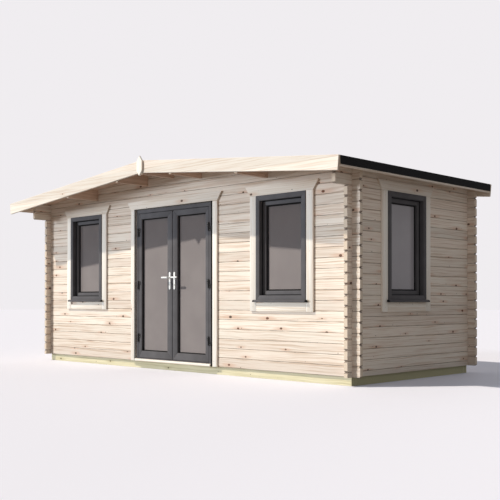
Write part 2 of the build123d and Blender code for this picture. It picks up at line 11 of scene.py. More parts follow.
import bpy
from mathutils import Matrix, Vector


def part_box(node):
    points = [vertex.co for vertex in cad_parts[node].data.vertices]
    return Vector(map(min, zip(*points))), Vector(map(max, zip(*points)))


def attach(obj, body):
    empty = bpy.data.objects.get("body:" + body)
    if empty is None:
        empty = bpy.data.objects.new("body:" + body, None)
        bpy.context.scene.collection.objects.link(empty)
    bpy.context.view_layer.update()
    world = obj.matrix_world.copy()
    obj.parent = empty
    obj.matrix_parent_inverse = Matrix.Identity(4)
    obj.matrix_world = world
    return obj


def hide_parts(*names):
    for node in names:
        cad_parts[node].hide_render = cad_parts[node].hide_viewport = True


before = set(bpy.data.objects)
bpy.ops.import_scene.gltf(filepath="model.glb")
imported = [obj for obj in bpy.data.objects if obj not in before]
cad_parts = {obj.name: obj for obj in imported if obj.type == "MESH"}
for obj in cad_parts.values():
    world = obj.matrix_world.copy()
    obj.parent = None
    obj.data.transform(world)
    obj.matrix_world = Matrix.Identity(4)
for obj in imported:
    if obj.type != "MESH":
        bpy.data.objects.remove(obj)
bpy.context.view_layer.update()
LOG = logging.getLogger("log_cabin")

Triple = tuple[float, float, float]
Colour = Triple
Span = tuple[float, float]
Outline = tuple[Span, Span]
Socket = bpy.types.NodeSocket
Material = bpy.types.Material
Piece = bpy.types.Object


class Axis(Enum):
    """An axis of the cabin's frame."""

    X = 0
    Y = 1
    Z = 2


class Facing(Enum):
    """The way a window looks out, as a turn about Z in degrees from the front."""

    FRONT = 0.0
    RIGHT = 90.0
    LEFT = -90.0


class Side(Enum):
    """A side of the cabin's middle, with its sign along X."""

    LEFT = -1
    RIGHT = 1

    @property
    def word(self) -> str:
        """The side's name in the names of nodes and bodies."""
        return self.name.lower()


class Element(Enum):
    """A kind of mesh element, with the mesh's own list of them."""

    VERT = "vertices"
    EDGE = "edges"
    FACE = "polygons"


class Graph:
    """The node tree of a material or of the sky, built up call by call."""

    def __init__(self, owner: bpy.types.ID, output: str = "ShaderNodeOutputMaterial") -> None:
        """Start an empty tree.

        Args:
            owner: The material or the sky.
            output: Blender's type name of the tree's last node.
        """
        owner.use_nodes = True
        self.owner = owner
        self.tree = owner.node_tree
        self.tree.nodes.clear()
        self.output = self.node(output)

    @classmethod
    def named(cls, name: str) -> "Graph":
        """Start the tree of a new material."""
        return cls(bpy.data.materials.new(name))

    def node(
        self, kind: str, inputs: dict[str | int, object] | None = None, **settings: object
    ) -> bpy.types.Node:
        """Add a node.

        Args:
            kind: Blender's type name of the node.
            inputs: What its inputs get, by their names or numbers.
            **settings: Properties set on it.

        Returns:
            The new node.
        """
        made = self.tree.nodes.new(kind)
        for key, value in settings.items():
            setattr(made, key, value)
        for key, value in (inputs or {}).items():
            self.feed(made.inputs[key], value)
        return made

    def feed(self, socket: Socket, value: object) -> None:
        """Link a socket to another one, or set its value.

        Args:
            socket: The input socket.
            value: An output socket, or a plain value.
        """
        if isinstance(value, Socket):
            self.tree.links.new(value, socket)
        elif socket.type == "RGBA" and len(value) == 3:
            socket.default_value = (*value, 1.0)
        else:
            socket.default_value = value

    def place(self) -> Socket:
        """Coordinates in the cabin's frame."""
        return self.node("ShaderNodeTexCoord").outputs["Object"]

    def math(self, kind: str, first: object, second: object = 0.0, third: object = 0.0) -> Socket:
        """Work out one sum from up to three numbers."""
        return self.node("ShaderNodeMath", {0: first, 1: second, 2: third}, operation=kind).outputs[0]

    def times(self, first: object, second: object) -> Socket:
        """Multiply two numbers."""
        return self.math("MULTIPLY", first, second)

    def scaled(self, value: object, factor: object, plus: object) -> Socket:
        """Multiply a number and add another one to it."""
        return self.math("MULTIPLY_ADD", value, factor, plus)

    def step(self, value: object, low: float, high: float) -> Socket:
        """Smooth step from 0 at low to 1 at high."""
        inputs = {"Value": value, "From Min": low, "From Max": high}
        return self.node("ShaderNodeMapRange", inputs, interpolation_type="SMOOTHSTEP").outputs["Result"]

    def split(self, vector: Socket) -> list[Socket]:
        """Split a vector into its three numbers."""
        return list(self.node("ShaderNodeSeparateXYZ", {0: vector}).outputs)

    def vector(self, x: object, y: object, z: object = 0.0) -> Socket:
        """Put three numbers together as a vector."""
        return self.node("ShaderNodeCombineXYZ", {0: x, 1: y, 2: z}).outputs[0]

    def stretch(self, places: list[Socket] | tuple[Socket, ...], scales: Triple) -> Socket:
        """Scale three places, each by its own number, and put them together as a vector."""
        return self.vector(*[self.times(place, scale) for place, scale in zip(places, scales)])

    def noise(self, place: Socket, scale: float, detail: float) -> Socket:
        """Cloudy noise from 0 to 1, with so many clouds in one unit and so many octaves."""
        inputs = {"Vector": place, "Scale": scale, "Detail": detail}
        return self.node("ShaderNodeTexNoise", inputs).outputs["Fac"]

    def mix(self, factor: object, first: object, second: object, kind: str = "MIX") -> Socket:
        """Blend two colours, with the factor as the second one's share."""
        inputs = {"Factor": factor, 6: first, 7: second}
        return self.node("ShaderNodeMix", inputs, data_type="RGBA", blend_type=kind).outputs[2]

    def bump(self, height: Socket, strength: float, depth: float) -> Socket:
        """Surface relief from a height of 0 to 1, with its depth in metres."""
        inputs = {"Height": height, "Strength": strength, "Distance": depth}
        return self.node("ShaderNodeBump", inputs).outputs["Normal"]

    def surface(self, **values: object) -> Material:
        """Finish with a principled surface.

        Args:
            **values: Its inputs, named with underscores for spaces.

        Returns:
            The finished material.
        """
        inputs = {key.replace("_", " "): value for key, value in values.items()}
        made = self.node("ShaderNodeBsdfPrincipled", inputs)
        self.feed(self.output.inputs["Surface"], made.outputs["BSDF"])
        return self.owner

    def show(self, met: Socket, shown: Socket) -> None:
        """Finish with one look for the camera, mirrors and glass, and another for all other rays.

        Args:
            met: What the other rays meet.
            shown: What the camera, mirrors and glass show.
        """
        path = self.node("ShaderNodeLightPath")
        seen = path.outputs["Is Camera Ray"]
        for ray in ("Is Glossy Ray", "Is Transmission Ray"):
            seen = self.math("MAXIMUM", seen, path.outputs[ray])
        blend = self.node("ShaderNodeMixShader", {0: seen, 1: met, 2: shown})
        self.feed(self.output.inputs["Surface"], blend.outputs[0])


@dataclass(frozen=True)
class TimberTones:
    """Colours of one kind of timber."""

    pale: Colour
    streak: Colour
    blush: Colour
    smear: Colour
    knot: Colour
    rim: Colour
    end: Colour
    # The dark joints' colour, which is also painted as shade on the eased edges at the boards' ends
    gap: Colour


SPRUCE = TimberTones(
    pale=(0.88, 0.795, 0.70),
    streak=(0.565, 0.41, 0.30),
    blush=(0.83, 0.685, 0.59),
    smear=(0.64, 0.38, 0.26),
    knot=(0.20, 0.07, 0.036),
    rim=(0.035, 0.02, 0.013),
    end=(0.75, 0.635, 0.515),
    gap=(0.13, 0.088, 0.062),
)
# Spruce darkened as painted shade, for the purlins and roof boards that lie under the roof
SPRUCE_PAINTED_SHADE = replace(
    SPRUCE,
    pale=(0.72, 0.53, 0.42),
    streak=(0.50, 0.33, 0.225),
    blush=(0.67, 0.46, 0.35),
)
PLANED_TRIM = TimberTones(
    pale=(0.945, 0.895, 0.83),
    streak=(0.79, 0.665, 0.55),
    blush=(0.91, 0.835, 0.765),
    smear=(0.66, 0.44, 0.31),
    knot=(0.14, 0.06, 0.035),
    rim=(0.03, 0.018, 0.012),
    end=(0.52, 0.41, 0.31),
    gap=(0.13, 0.088, 0.062),
)
LEVEL_TRIM = replace(
    PLANED_TRIM,
    pale=(0.89, 0.82, 0.74),
    streak=(0.69, 0.56, 0.44),
    blush=(0.85, 0.75, 0.665),
)
BARGE = replace(
    PLANED_TRIM,
    pale=(0.85, 0.775, 0.695),
    streak=(0.66, 0.52, 0.41),
    blush=(0.81, 0.705, 0.615),
)
TREATED = TimberTones(
    pale=(0.92, 0.835, 0.60),
    streak=(0.61, 0.54, 0.33),
    blush=(0.80, 0.72, 0.47),
    smear=(0.50, 0.43, 0.24),
    knot=(0.20, 0.13, 0.06),
    rim=(0.06, 0.045, 0.025),
    end=(0.42, 0.40, 0.24),
    gap=(0.16, 0.15, 0.09),
)


@dataclass(frozen=True)
class KnotScatter:
    """How knots of one size are scattered.

    Attributes:
        shift: Offset along the boards, in metres.
        spacing: Length of a cell that may hold a knot, in metres.
        sizes: Least and greatest radius, in metres.
        share: Part of the timber's own share of knots.
        rim_weight: How dark the rims are, from 0 to 1.
    """

    shift: float
    spacing: float
    sizes: Span
    share: float
    rim_weight: float


LARGE_KNOTS = KnotScatter(0.0, 0.62, (0.005, 0.0125), 1.0, 0.9)
SMALL_KNOTS = KnotScatter(11.7, 0.27, (0.0018, 0.0042), 0.6, 0.75)


@dataclass(frozen=True)
class Knots:
    """Masks of one scatter of knots."""

    heart: Socket
    rim: Socket
    halo: Socket
    luck: Socket
    pull: Socket


@dataclass(frozen=True)
class TimberFinish:
    """Planed timber with streaked grain, sparse knots and end grain.

    Attributes:
        name: The material's name.
        tones: Its colours.
        grain: The axis that the grain follows.
        stack: The axis along which the boards lie side by side.
        base: Where the first board starts on the stack axis, in metres.
        cover: One board's width, in metres.
        knot_share: Share of the likely places that hold a knot.
        groove: Half the width of the dark joint between boards, in metres.
        joint_depth: How dark that joint is, from 0 to 1.
    """

    name: str
    tones: TimberTones
    grain: Axis
    stack: Axis = Axis.Z
    base: float = 0.0
    cover: float = 0.2
    knot_share: float = 0.3
    groove: float = 0.0
    joint_depth: float = 0.8

    # How often each pattern changes along the board, across it and into it
    drift_scale: ClassVar[Triple] = (2.2, 1.0, 1.0)
    streak_scale: ClassVar[Triple] = (1.2, 75.0, 75.0)
    fibre_scale: ClassVar[Triple] = (8.0, 520.0, 520.0)
    cloud_scale: ClassVar[Triple] = (3.1, 14.0, 1.0)
    joint_scale: ClassVar[float] = 5.0
    ring_scale: ClassVar[float] = 900.0

    # What makes one finish and one board differ from the next
    name_seed: ClassVar[float] = 7.3
    board_shift: ClassVar[float] = 40.0

    # How far knots and the grain's bends round them are drawn out along the board
    knot_squeeze: ClassVar[float] = 0.62
    halo_squeeze: ClassVar[float] = 0.3

    def knots(self, graph: Graph, run: Socket, count: Socket, scatter: KnotScatter) -> Knots:
        """Scatter knots, one likely place in each cell of a board, some of them empty.

        Args:
            graph: The material's tree.
            run: Place along the board.
            count: Place across the boards, in boards.
            scatter: The knots' sizes and spacing.

        Returns:
            The knots' masks.
        """
        cell_run = graph.math("DIVIDE", graph.math("ADD", run, scatter.shift), scatter.spacing)
        inputs = {"Vector": graph.vector(cell_run, count), "Scale": 1.0, "Randomness": 0.9}
        cell = graph.node("ShaderNodeTexVoronoi", inputs, voronoi_dimensions="2D", feature="F1")
        centre = graph.split(cell.outputs["Position"])
        chance = graph.split(cell.outputs["Color"])
        from_centre = graph.math("SUBTRACT", cell_run, centre[0])
        off_run = graph.times(from_centre, scatter.spacing * self.knot_squeeze)
        off_across = graph.times(graph.math("SUBTRACT", count, centre[1]), self.cover)
        square = graph.times(off_across, off_across)
        least, greatest = scatter.sizes
        size = graph.scaled(chance[0], greatest - least, least)
        present = graph.math("LESS_THAN", chance[1], self.knot_share * scatter.share)
        knot = graph.math("DIVIDE", graph.math("SQRT", graph.scaled(off_run, off_run, square)), size)
        halo_run = graph.times(off_run, self.halo_squeeze)
        halo = graph.math("DIVIDE", graph.math("SQRT", graph.scaled(halo_run, halo_run, square)), size)
        return Knots(
            heart=graph.times(graph.step(knot, 1.0, 0.6), present),
            rim=graph.times(graph.step(knot, 1.35, 0.95), present),
            halo=graph.times(graph.step(halo, 3.2, 0.6), present),
            luck=chance[2],
            pull=off_across,
        )

    def material(self) -> Material:
        """Build the finish as a node material.

        Returns:
            The material.
        """
        graph = Graph.named(self.name)
        coords = graph.node("ShaderNodeTexCoord")
        place = graph.split(coords.outputs["Object"])
        along = place[self.grain.value]
        across = place[self.stack.value]
        depth = place[3 - self.grain.value - self.stack.value]
        count = graph.math("DIVIDE", graph.math("SUBTRACT", across, self.base), self.cover)
        board = graph.math("FLOOR", count)
        seed = graph.math("ADD", board, len(self.name) * self.name_seed)
        dice = graph.node("ShaderNodeTexWhiteNoise", noise_dimensions="1D")
        graph.feed(dice.inputs["W"], seed)
        luck = graph.split(dice.outputs["Color"])
        run = graph.scaled(dice.outputs["Value"], self.board_shift, along)
        large = self.knots(graph, run, count, LARGE_KNOTS)
        small = self.knots(graph, run, count, SMALL_KNOTS)

        # Grain that bends round the large knots
        bent = graph.scaled(graph.times(large.pull, large.halo), 0.7, across)
        drift = graph.noise(graph.stretch((run, count, depth), self.drift_scale), 1.0, 2.0)
        bent = graph.scaled(drift, 0.035, bent)
        streaks = graph.noise(graph.stretch((run, bent, depth), self.streak_scale), 1.0, 4.0)
        fibres = graph.noise(graph.stretch((run, bent, depth), self.fibre_scale), 1.0, 2.0)
        clouds = graph.noise(graph.stretch((run, across, depth), self.cloud_scale), 1.0, 3.0)
        tone = graph.scaled(graph.step(streaks, 0.43, 0.74), 0.85, graph.scaled(fibres, 0.36, -0.14))

        # Colour, from the broad clouds down to the knots
        tones = self.tones
        colour = graph.mix(graph.times(graph.step(clouds, 0.42, 0.72), 0.6), tones.pale, tones.blush)
        colour = graph.mix(graph.times(luck[0], 0.5), colour, tones.blush)
        colour = graph.mix(tone, colour, tones.streak)
        shade = graph.scaled(luck[1], 0.19, 0.885)
        colour = graph.mix(1.0, colour, graph.vector(shade, shade, shade), "MULTIPLY")
        colour = graph.mix(graph.times(large.halo, 0.5), colour, tones.smear)
        for knots, scatter in ((large, LARGE_KNOTS), (small, SMALL_KNOTS)):
            colour = graph.mix(graph.times(knots.rim, scatter.rim_weight), colour, tones.rim)
            colour = graph.mix(graph.times(knots.heart, knots.luck), colour, tones.knot)

        # End grain on faces that cut the fibres
        facing = graph.split(coords.outputs["Normal"])
        turned = graph.math("ABSOLUTE", facing[self.grain.value])
        wander = graph.noise(graph.vector(across, depth, luck[2]), 30.0, 2.0)
        waves = graph.scaled(graph.math("ADD", across, depth), self.ring_scale, graph.times(wander, 14.0))
        rings = graph.scaled(graph.math("SINE", waves), 0.22, 0.25)
        end = graph.mix(rings, tones.end, tones.streak)
        colour = graph.mix(graph.step(turned, 0.80, 0.92), colour, end)
        height = graph.scaled(fibres, 0.4, graph.times(streaks, 0.6))

        # Dark joints between boards, and painted shade on the eased edges at their ends
        if self.groove:
            inside = graph.math("FRACT", count)
            edge = graph.math("MINIMUM", inside, graph.math("SUBTRACT", 1.0, inside))
            joint = graph.step(graph.times(edge, self.cover), self.groove, self.groove * 0.35)
            spots = graph.noise(graph.vector(graph.times(along, self.joint_scale), board), 1.0, 3.0)
            dark = graph.scaled(graph.step(spots, 0.3, 0.7), self.joint_depth, 0.15)
            colour = graph.mix(graph.times(joint, dark), colour, tones.gap)
            height = graph.math("SUBTRACT", height, joint)
            # Painted shade: the eased edges at the boards' ends are darkened towards the joint colour
            eased = graph.times(turned, graph.math("ABSOLUTE", facing[self.stack.value]))
            colour = graph.mix(graph.times(graph.step(eased, 0.2, 0.4), 0.75), colour, tones.gap)
        return graph.surface(Base_Color=colour, Roughness=0.68, Normal=graph.bump(height, 0.3, 0.0008))


@dataclass(frozen=True)
class FeltFinish:
    """Black roofing felt with a mineral face."""

    name: str = "mineral_felt"
    base: Colour = (0.004, 0.004, 0.0042)
    fleck: Colour = (0.03, 0.03, 0.031)

    def material(self) -> Material:
        """Build the finish.

        Returns:
            The material.
        """
        graph = Graph.named(self.name)
        place = graph.place()
        grit = graph.noise(place, 420.0, 2.0)
        wear = graph.noise(place, 3.0, 4.0)
        flecks = graph.times(graph.step(grit, 0.52, 0.70), graph.step(wear, 0.2, 0.8))
        colour = graph.mix(flecks, self.base, self.fleck)
        relief = graph.bump(grit, 0.5, 0.0012)
        return graph.surface(Base_Color=colour, Roughness=0.92, Specular_IOR_Level=0.15, Normal=relief)


@dataclass(frozen=True)
class PlasticFinish:
    """Extruded plastic with a faint embossed foil."""

    name: str
    colour: Colour
    roughness: float
    emboss: float = 0.10
    gloss: float = 0.42

    pore_scale: ClassVar[Triple] = (900.0, 900.0, 25.0)

    def material(self) -> Material:
        """Build the finish.

        Returns:
            The material.
        """
        graph = Graph.named(self.name)
        place = graph.split(graph.place())
        pores = graph.noise(graph.stretch(place, self.pore_scale), 1.0, 2.0)
        dust = graph.noise(graph.vector(*place), 6.0, 4.0)
        lighter = tuple(min(1.0, part * 1.22 + 0.004) for part in self.colour)
        colour = graph.mix(graph.times(graph.step(dust, 0.35, 0.75), 0.7), self.colour, lighter)
        rough = graph.scaled(pores, 0.12, self.roughness - 0.06)
        relief = graph.bump(pores, self.emboss, 0.0003)
        return graph.surface(
            Base_Color=colour, Roughness=rough, Normal=relief, Specular_IOR_Level=self.gloss
        )


@dataclass(frozen=True)
class GlassFinish:
    """Tinted, slightly hazy double glazing."""

    name: str = "hazy_glazing"
    tint: Colour = (0.445, 0.416, 0.447)
    smear: Colour = (0.50, 0.468, 0.50)

    def material(self) -> Material:
        """Build the finish.

        Returns:
            The material.
        """
        graph = Graph.named(self.name)
        haze = graph.noise(graph.place(), 2.4, 3.0)
        return graph.surface(
            Base_Color=graph.mix(graph.step(haze, 0.3, 0.75), self.tint, self.smear),
            Roughness=graph.scaled(haze, 0.06, 0.03),
            Transmission_Weight=0.18,
            IOR=1.45,
            Specular_IOR_Level=0.15,
        )


@dataclass(frozen=True)
class MetalFinish:
    """Bare or plated metal."""

    name: str
    colour: Colour
    roughness: float = 0.35

    def material(self) -> Material:
        """Build the finish.

        Returns:
            The material.
        """
        graph = Graph.named(self.name)
        brush = graph.noise(graph.place(), 600.0, 2.0)
        rough = graph.scaled(brush, 0.2, self.roughness - 0.1)
        return graph.surface(Base_Color=self.colour, Metallic=1.0, Roughness=rough)


@dataclass(frozen=True)
class Finishes:
    """Every material of the cabin, built once."""

    front_logs: Material
    side_logs: Material
    board_y: Material
    purlin: Material
    sill: Material
    trim_x: Material
    barge: Material
    trim_y: Material
    trim_z: Material
    trim_z_side: Material
    roofing: Material
    flooring: Material
    treated_x: Material
    treated_y: Material
    felt: Material
    anthracite: Material
    hinge: Material
    seal: Material
    white: Material
    glass: Material
    screw: Material
    nail: Material

    @classmethod
    def build(cls) -> "Finishes":
        """Build all finishes; the log courses take their places from the walls.

        Returns:
            The finishes.
        """
        low, high = (corner.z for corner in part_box("back_wall_logs"))
        cover = (high - low) / LogWalls.plain_courses
        side_low = low - cover / 2
        course = {"cover": cover, "groove": 0.0042}
        boarding = {"cover": 0.11, "knot_share": 0.5}
        upright = {"cover": 0.21}
        treated = {"knot_share": 0.4}
        table = {
            "front_logs": TimberFinish(
                "front_log_spruce", SPRUCE, Axis.X, base=low, knot_share=0.36, **course
            ),
            "side_logs": TimberFinish(
                "side_log_spruce", SPRUCE, Axis.Y, base=side_low, knot_share=0.46, **course
            ),
            "board_y": TimberFinish("spruce_board_along_y", SPRUCE, Axis.Y),
            # Purlins and roof boards take the spruce darkened as painted shade
            "purlin": TimberFinish("spruce_purlin", SPRUCE_PAINTED_SHADE, Axis.Y),
            "sill": TimberFinish("sill_board", PLANED_TRIM, Axis.X),
            "trim_x": TimberFinish("trim_along_x", LEVEL_TRIM, Axis.X),
            "barge": TimberFinish("spruce_bargeboard", BARGE, Axis.X),
            "trim_y": TimberFinish("trim_along_y", LEVEL_TRIM, Axis.Y),
            "trim_z": TimberFinish("trim_upright", PLANED_TRIM, Axis.Z, Axis.X, **upright),
            "trim_z_side": TimberFinish("trim_upright_side", PLANED_TRIM, Axis.Z, Axis.Y, **upright),
            "roofing": TimberFinish("spruce_roofing", SPRUCE_PAINTED_SHADE, Axis.X, Axis.Y, **boarding),
            "flooring": TimberFinish(
                "spruce_flooring", SPRUCE, Axis.X, Axis.Y, groove=0.003, **boarding
            ),
            "treated_x": TimberFinish("treated_along_x", TREATED, Axis.X, **treated),
            "treated_y": TimberFinish("treated_along_y", TREATED, Axis.Y, **treated),
            "felt": FeltFinish(),
            "anthracite": PlasticFinish("anthracite_foil", (0.110, 0.105, 0.111), 0.45, gloss=0.02),
            "hinge": PlasticFinish("black_hinge_lacquer", (0.012, 0.012, 0.013), 0.4, 0.04),
            # Black for the seals, beads and cill caps, and for the door's strip of painted shade
            "seal": PlasticFinish("black_seal", (0.006, 0.006, 0.0065), 0.75, 0.05, 0.15),
            "white": PlasticFinish("white_lacquer", (0.83, 0.83, 0.83), 0.25, 0.03),
            "glass": GlassFinish(),
            "screw": MetalFinish("zinc_screw", (0.55, 0.53, 0.47)),
            "nail": MetalFinish("galvanised_nail", (0.42, 0.43, 0.44), 0.5),
        }
        return cls(**{key: finish.material() for key, finish in table.items()})


class Shop:
    """Blender's modelling tools, used on one piece at a time."""

    sharp_angle: ClassVar[float] = math.radians(35)

    @staticmethod
    def clear() -> None:
        """Leave edit mode and deselect everything."""
        if bpy.context.object and bpy.context.object.mode != "OBJECT":
            bpy.ops.object.mode_set(mode="OBJECT")
        for chosen in list(bpy.context.selected_objects):
            chosen.select_set(False)
        bpy.context.view_layer.objects.active = None

    @staticmethod
    def pick(piece: Piece) -> None:
        """Make one piece the only selected and active one.

        Args:
            piece: The piece.
        """
        Shop.clear()
        piece.select_set(True)
        bpy.context.view_layer.objects.active = piece

    @staticmethod
    @contextmanager
    def editing(piece: Piece) -> Iterator[None]:
        """Hold a piece in edit mode.

        Args:
            piece: The piece.

        Yields:
            Nothing, while the piece is held.
        """
        Shop.pick(piece)
        bpy.ops.object.mode_set(mode="EDIT")
        yield
        bpy.ops.object.mode_set(mode="OBJECT")

    @staticmethod
    def choose(piece: Piece, kind: Element, test: Callable[[bpy.types.bpy_struct], bool]) -> None:
        """Select the vertices, edges or faces that pass a test, and no others.

        Args:
            piece: The piece.
            kind: Which of the three.
            test: Says whether one of them is wanted.
        """
        with Shop.editing(piece):
            bpy.ops.mesh.select_mode(type=kind.name)
            bpy.ops.mesh.select_all(action="DESELECT")
        for element in getattr(piece.data, kind.value):
            element.select = test(element)

    @staticmethod
    def settle(piece: Piece) -> Piece:
        """Move a piece's place, turn and scale into its mesh.

        Args:
            piece: The piece.

        Returns:
            The same piece, now at the origin.
        """
        Shop.pick(piece)
        bpy.ops.object.transform_apply(location=True, rotation=True, scale=True)
        return piece

    @staticmethod
    def block(name: str, x: Span, y: Span, z: Span) -> Piece:
        """Add a block between pairs of places.

        Args:
            name: The piece's name.
            x: Places along X.
            y: Places along Y.
            z: Places along Z.

        Returns:
            The block.
        """
        Shop.clear()
        middle = [(low + high) / 2 for low, high in (x, y, z)]
        bpy.ops.mesh.primitive_cube_add(size=1.0, location=middle)
        piece = bpy.context.object
        piece.name = name
        piece.scale = [abs(high - low) for low, high in (x, y, z)]
        return Shop.settle(piece)

    @staticmethod
    def rod(name: str, start: Vector, end: Vector, radius: float, sides: int) -> Piece:
        """Add a round rod between two points.

        Args:
            name: The piece's name.
            start: Centre of one end.
            end: Centre of the other end.
            radius: Its radius.
            sides: Sides of its outline.

        Returns:
            The rod.
        """
        Shop.clear()
        way = end - start
        turn = way.to_track_quat("Z", "Y").to_euler()
        bpy.ops.mesh.primitive_cylinder_add(
            vertices=sides, radius=radius, depth=way.length, location=(start + end) / 2, rotation=turn
        )
        piece = bpy.context.object
        piece.name = name
        return Shop.settle(piece)

    @staticmethod
    def cut(piece: Piece, point: Vector, outward: Vector) -> None:
        """Saw off all that lies beyond a plane.

        Args:
            piece: The piece.
            point: A point on the plane.
            outward: The way that is cut off.
        """
        with Shop.editing(piece):
            bpy.ops.mesh.select_all(action="SELECT")
            bpy.ops.mesh.bisect(plane_co=point, plane_no=outward, use_fill=True, clear_outer=True)

    @staticmethod
    def ease(piece: Piece, width: float, segments: int = 2) -> Piece:
        """Round off every sharp edge.

        Args:
            piece: The piece.
            width: Width of the rounding.
            segments: Steps in it.

        Returns:
            The same piece.
        """
        Shop.pick(piece)
        bevel = piece.modifiers.new("ease", "BEVEL")
        bevel.width = width
        bevel.segments = segments
        bevel.limit_method = "ANGLE"
        bevel.angle_limit = Shop.sharp_angle
        bpy.ops.object.modifier_apply(modifier=bevel.name)
        bpy.ops.object.shade_smooth_by_angle(angle=Shop.sharp_angle)
        return piece

    @staticmethod
    def bevel_edges(
        piece: Piece, test: Callable[[Vector, Vector], bool], width: float, segments: int
    ) -> None:
        """Bevel the edges whose two ends pass a test.

        Args:
            piece: The piece.
            test: Says from an edge's ends whether it is wanted.
            width: Width of the bevel.
            segments: Steps in it.
        """

        def wanted(edge: bpy.types.MeshEdge) -> bool:
            """Put the test to one edge."""
            return test(*(piece.data.vertices[index].co for index in edge.vertices))

        Shop.choose(piece, Element.EDGE, wanted)
        with Shop.editing(piece):
            bpy.ops.mesh.bevel(offset=width, segments=segments, affect="EDGES")

    @staticmethod
    def round_corners(piece: Piece, width: float, segments: int) -> None:
        """Round off the edges that run along Y.

        Args:
            piece: The piece.
            width: Width of the rounding.
            segments: Steps in it.
        """

        def along_y(first: Vector, second: Vector) -> bool:
            """Say whether an edge runs along Y."""
            return abs((second - first).normalized().y) > 0.99

        Shop.bevel_edges(piece, along_y, width, segments)

    @staticmethod
    def join(name: str, pieces: list[Piece]) -> Piece:
        """Join pieces into one object.

        Args:
            name: The new piece's name.
            pieces: The pieces, which are used up.

        Returns:
            The joined piece.
        """
        joined = pieces[0]
        Shop.pick(joined)
        for piece in pieces:
            piece.select_set(True)
        if len(pieces) > 1:
            bpy.ops.object.join()
        joined.name = name
        return joined

    @staticmethod
    def copy(piece: Piece, name: str, move: Vector, turn: float = 0.0) -> Piece:
        """Copy a piece with its own mesh to another place.

        Args:
            piece: The piece.
            name: The copy's name.
            move: How far the copy moves.
            turn: Its turn about Z at the origin before it moves, in degrees.

        Returns:
            The copy, settled at the origin.
        """
        Shop.pick(piece)
        bpy.ops.object.duplicate(linked=False)
        twin = bpy.context.object
        twin.name = name
        twin.rotation_euler = (0.0, 0.0, math.radians(turn))
        twin.location = move
        return Shop.settle(twin)

    @staticmethod
    def eased_twin(node: str, width: float) -> Piece:
        """Copy a solid and ease its edges.

        Args:
            node: The solid's name.
            width: Width of the easing.

        Returns:
            The eased copy.
        """
        twin = Shop.copy(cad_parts[node], f"{node}_eased", Vector())
        bpy.ops.mesh.customdata_custom_splitnormals_clear()
        with Shop.editing(twin):
            bpy.ops.mesh.select_all(action="SELECT")
            bpy.ops.mesh.remove_doubles(threshold=1e-5)
            bpy.ops.mesh.dissolve_limited(angle_limit=math.radians(1.0))
        return Shop.ease(twin, width, 1)

    @staticmethod
    def repeat(piece: Piece, count: int, step: Vector) -> Piece:
        """Repeat a piece in a row, within its own mesh.

        Args:
            piece: The piece.
            count: How many there are in the end.
            step: From one to the next.

        Returns:
            The same piece.
        """
        Shop.pick(piece)
        array = piece.modifiers.new("row", "ARRAY")
        array.count = count
        array.use_relative_offset = False
        array.use_constant_offset = True
        array.constant_offset_displace = step
        bpy.ops.object.modifier_apply(modifier=array.name)
        return piece

    @staticmethod
    def inset(outline: Outline, width: float) -> Outline:
        """Draw an outline in by a width."""
        (left, right), (low, high) = outline
        return (left + width, right - width), (low + width, high - width)

    @staticmethod
    def mitred_ring(name: str, outer: Outline, inner: Outline, y: Span, ease: float) -> Piece:
        """Frame of four bars with mitred corners.

        Args:
            name: The piece's name.
            outer: Outer places along X and along Z.
            inner: Inner places along X and along Z.
            y: Front and back.
            ease: Rounding of the bars' edges.

        Returns:
            The frame.
        """
        (left, right), (low, high) = outer
        (in_left, in_right), (in_low, in_high) = inner
        inner_x = {left: in_left, right: in_right}
        inner_z = {low: in_low, high: in_high}
        spans = [
            ((left, right), (low, in_low), [(left, low), (right, low)]),
            ((left, right), (in_high, high), [(left, high), (right, high)]),
            ((left, in_left), (low, high), [(left, low), (left, high)]),
            ((in_right, right), (low, high), [(right, low), (right, high)]),
        ]
        bars = []
        for x, z, ends in spans:
            bar = Shop.block(f"{name}_bar", x, y, z)
            middle = Vector((sum(x) / 2, 0.0, sum(z) / 2))
            for end_x, end_z in ends:
                point = Vector((end_x, 0.0, end_z))
                way = Vector((inner_x[end_x], 0.0, inner_z[end_z])) - point
                outward = Vector((-way.z, 0.0, way.x))
                if outward.dot(middle - point) > 0:
                    outward.negate()
                Shop.cut(bar, point, outward)
            bars.append(Shop.ease(bar, ease))
        return Shop.join(name, bars)

    @staticmethod
    def screw(name: str, place: Vector, radius: float = 0.0045) -> Piece:
        """Countersunk screw head that faces -Y, with a round recess.

        Args:
            name: The piece's name.
            place: Centre of the head on the surface.
            radius: The head's radius.

        Returns:
            The head.
        """
        sink, proud, recess = 0.001, 0.0006, 0.0011
        head = Shop.rod(name, place + Vector((0, sink, 0)), place - Vector((0, proud, 0)), radius, 16)
        Shop.choose(head, Element.FACE, lambda face: face.normal.y < -0.9)
        with Shop.editing(head):
            bpy.ops.mesh.inset(thickness=radius * 0.45)
            bpy.ops.mesh.extrude_region_move(TRANSFORM_OT_translate={"value": (0.0, recess, 0.0)})
        return head

    @staticmethod
    def dress(piece: Piece, finish: Material) -> None:
        """Give a piece one finish.

        Args:
            piece: The piece.
            finish: The material.
        """
        piece.data.materials.clear()
        piece.data.materials.append(finish)
        LOG.info("%s in %s, %d faces", piece.name, finish.name, len(piece.data.polygons))

    @staticmethod
    def fit(piece: Piece, finish: Material, slot: str, body: str, *nodes: str) -> None:
        """Finish a piece and set it on its body.

        Args:
            piece: The piece.
            finish: Its material.
            slot: The record's material slot; not used.
            body: The body that it rides on.
            *nodes: CAD nodes that it stands for.
        """
        Shop.dress(piece, finish)
        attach(piece, body)
        if nodes:
            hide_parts(*nodes)


@dataclass
class LogWalls:
    """The log walls, which keep their solids and get their finish."""

    plain_courses: ClassVar[int] = 17

    def dress(self, finishes: Finishes) -> None:
        """Give each wall logs with the grain along it.

        Args:
            finishes: The cabin's materials.
        """
        for name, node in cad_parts.items():
            if name.endswith("_logs"):
                along_front = name.startswith(("front", "back"))
                Shop.dress(node, finishes.front_logs if along_front else finishes.side_logs)


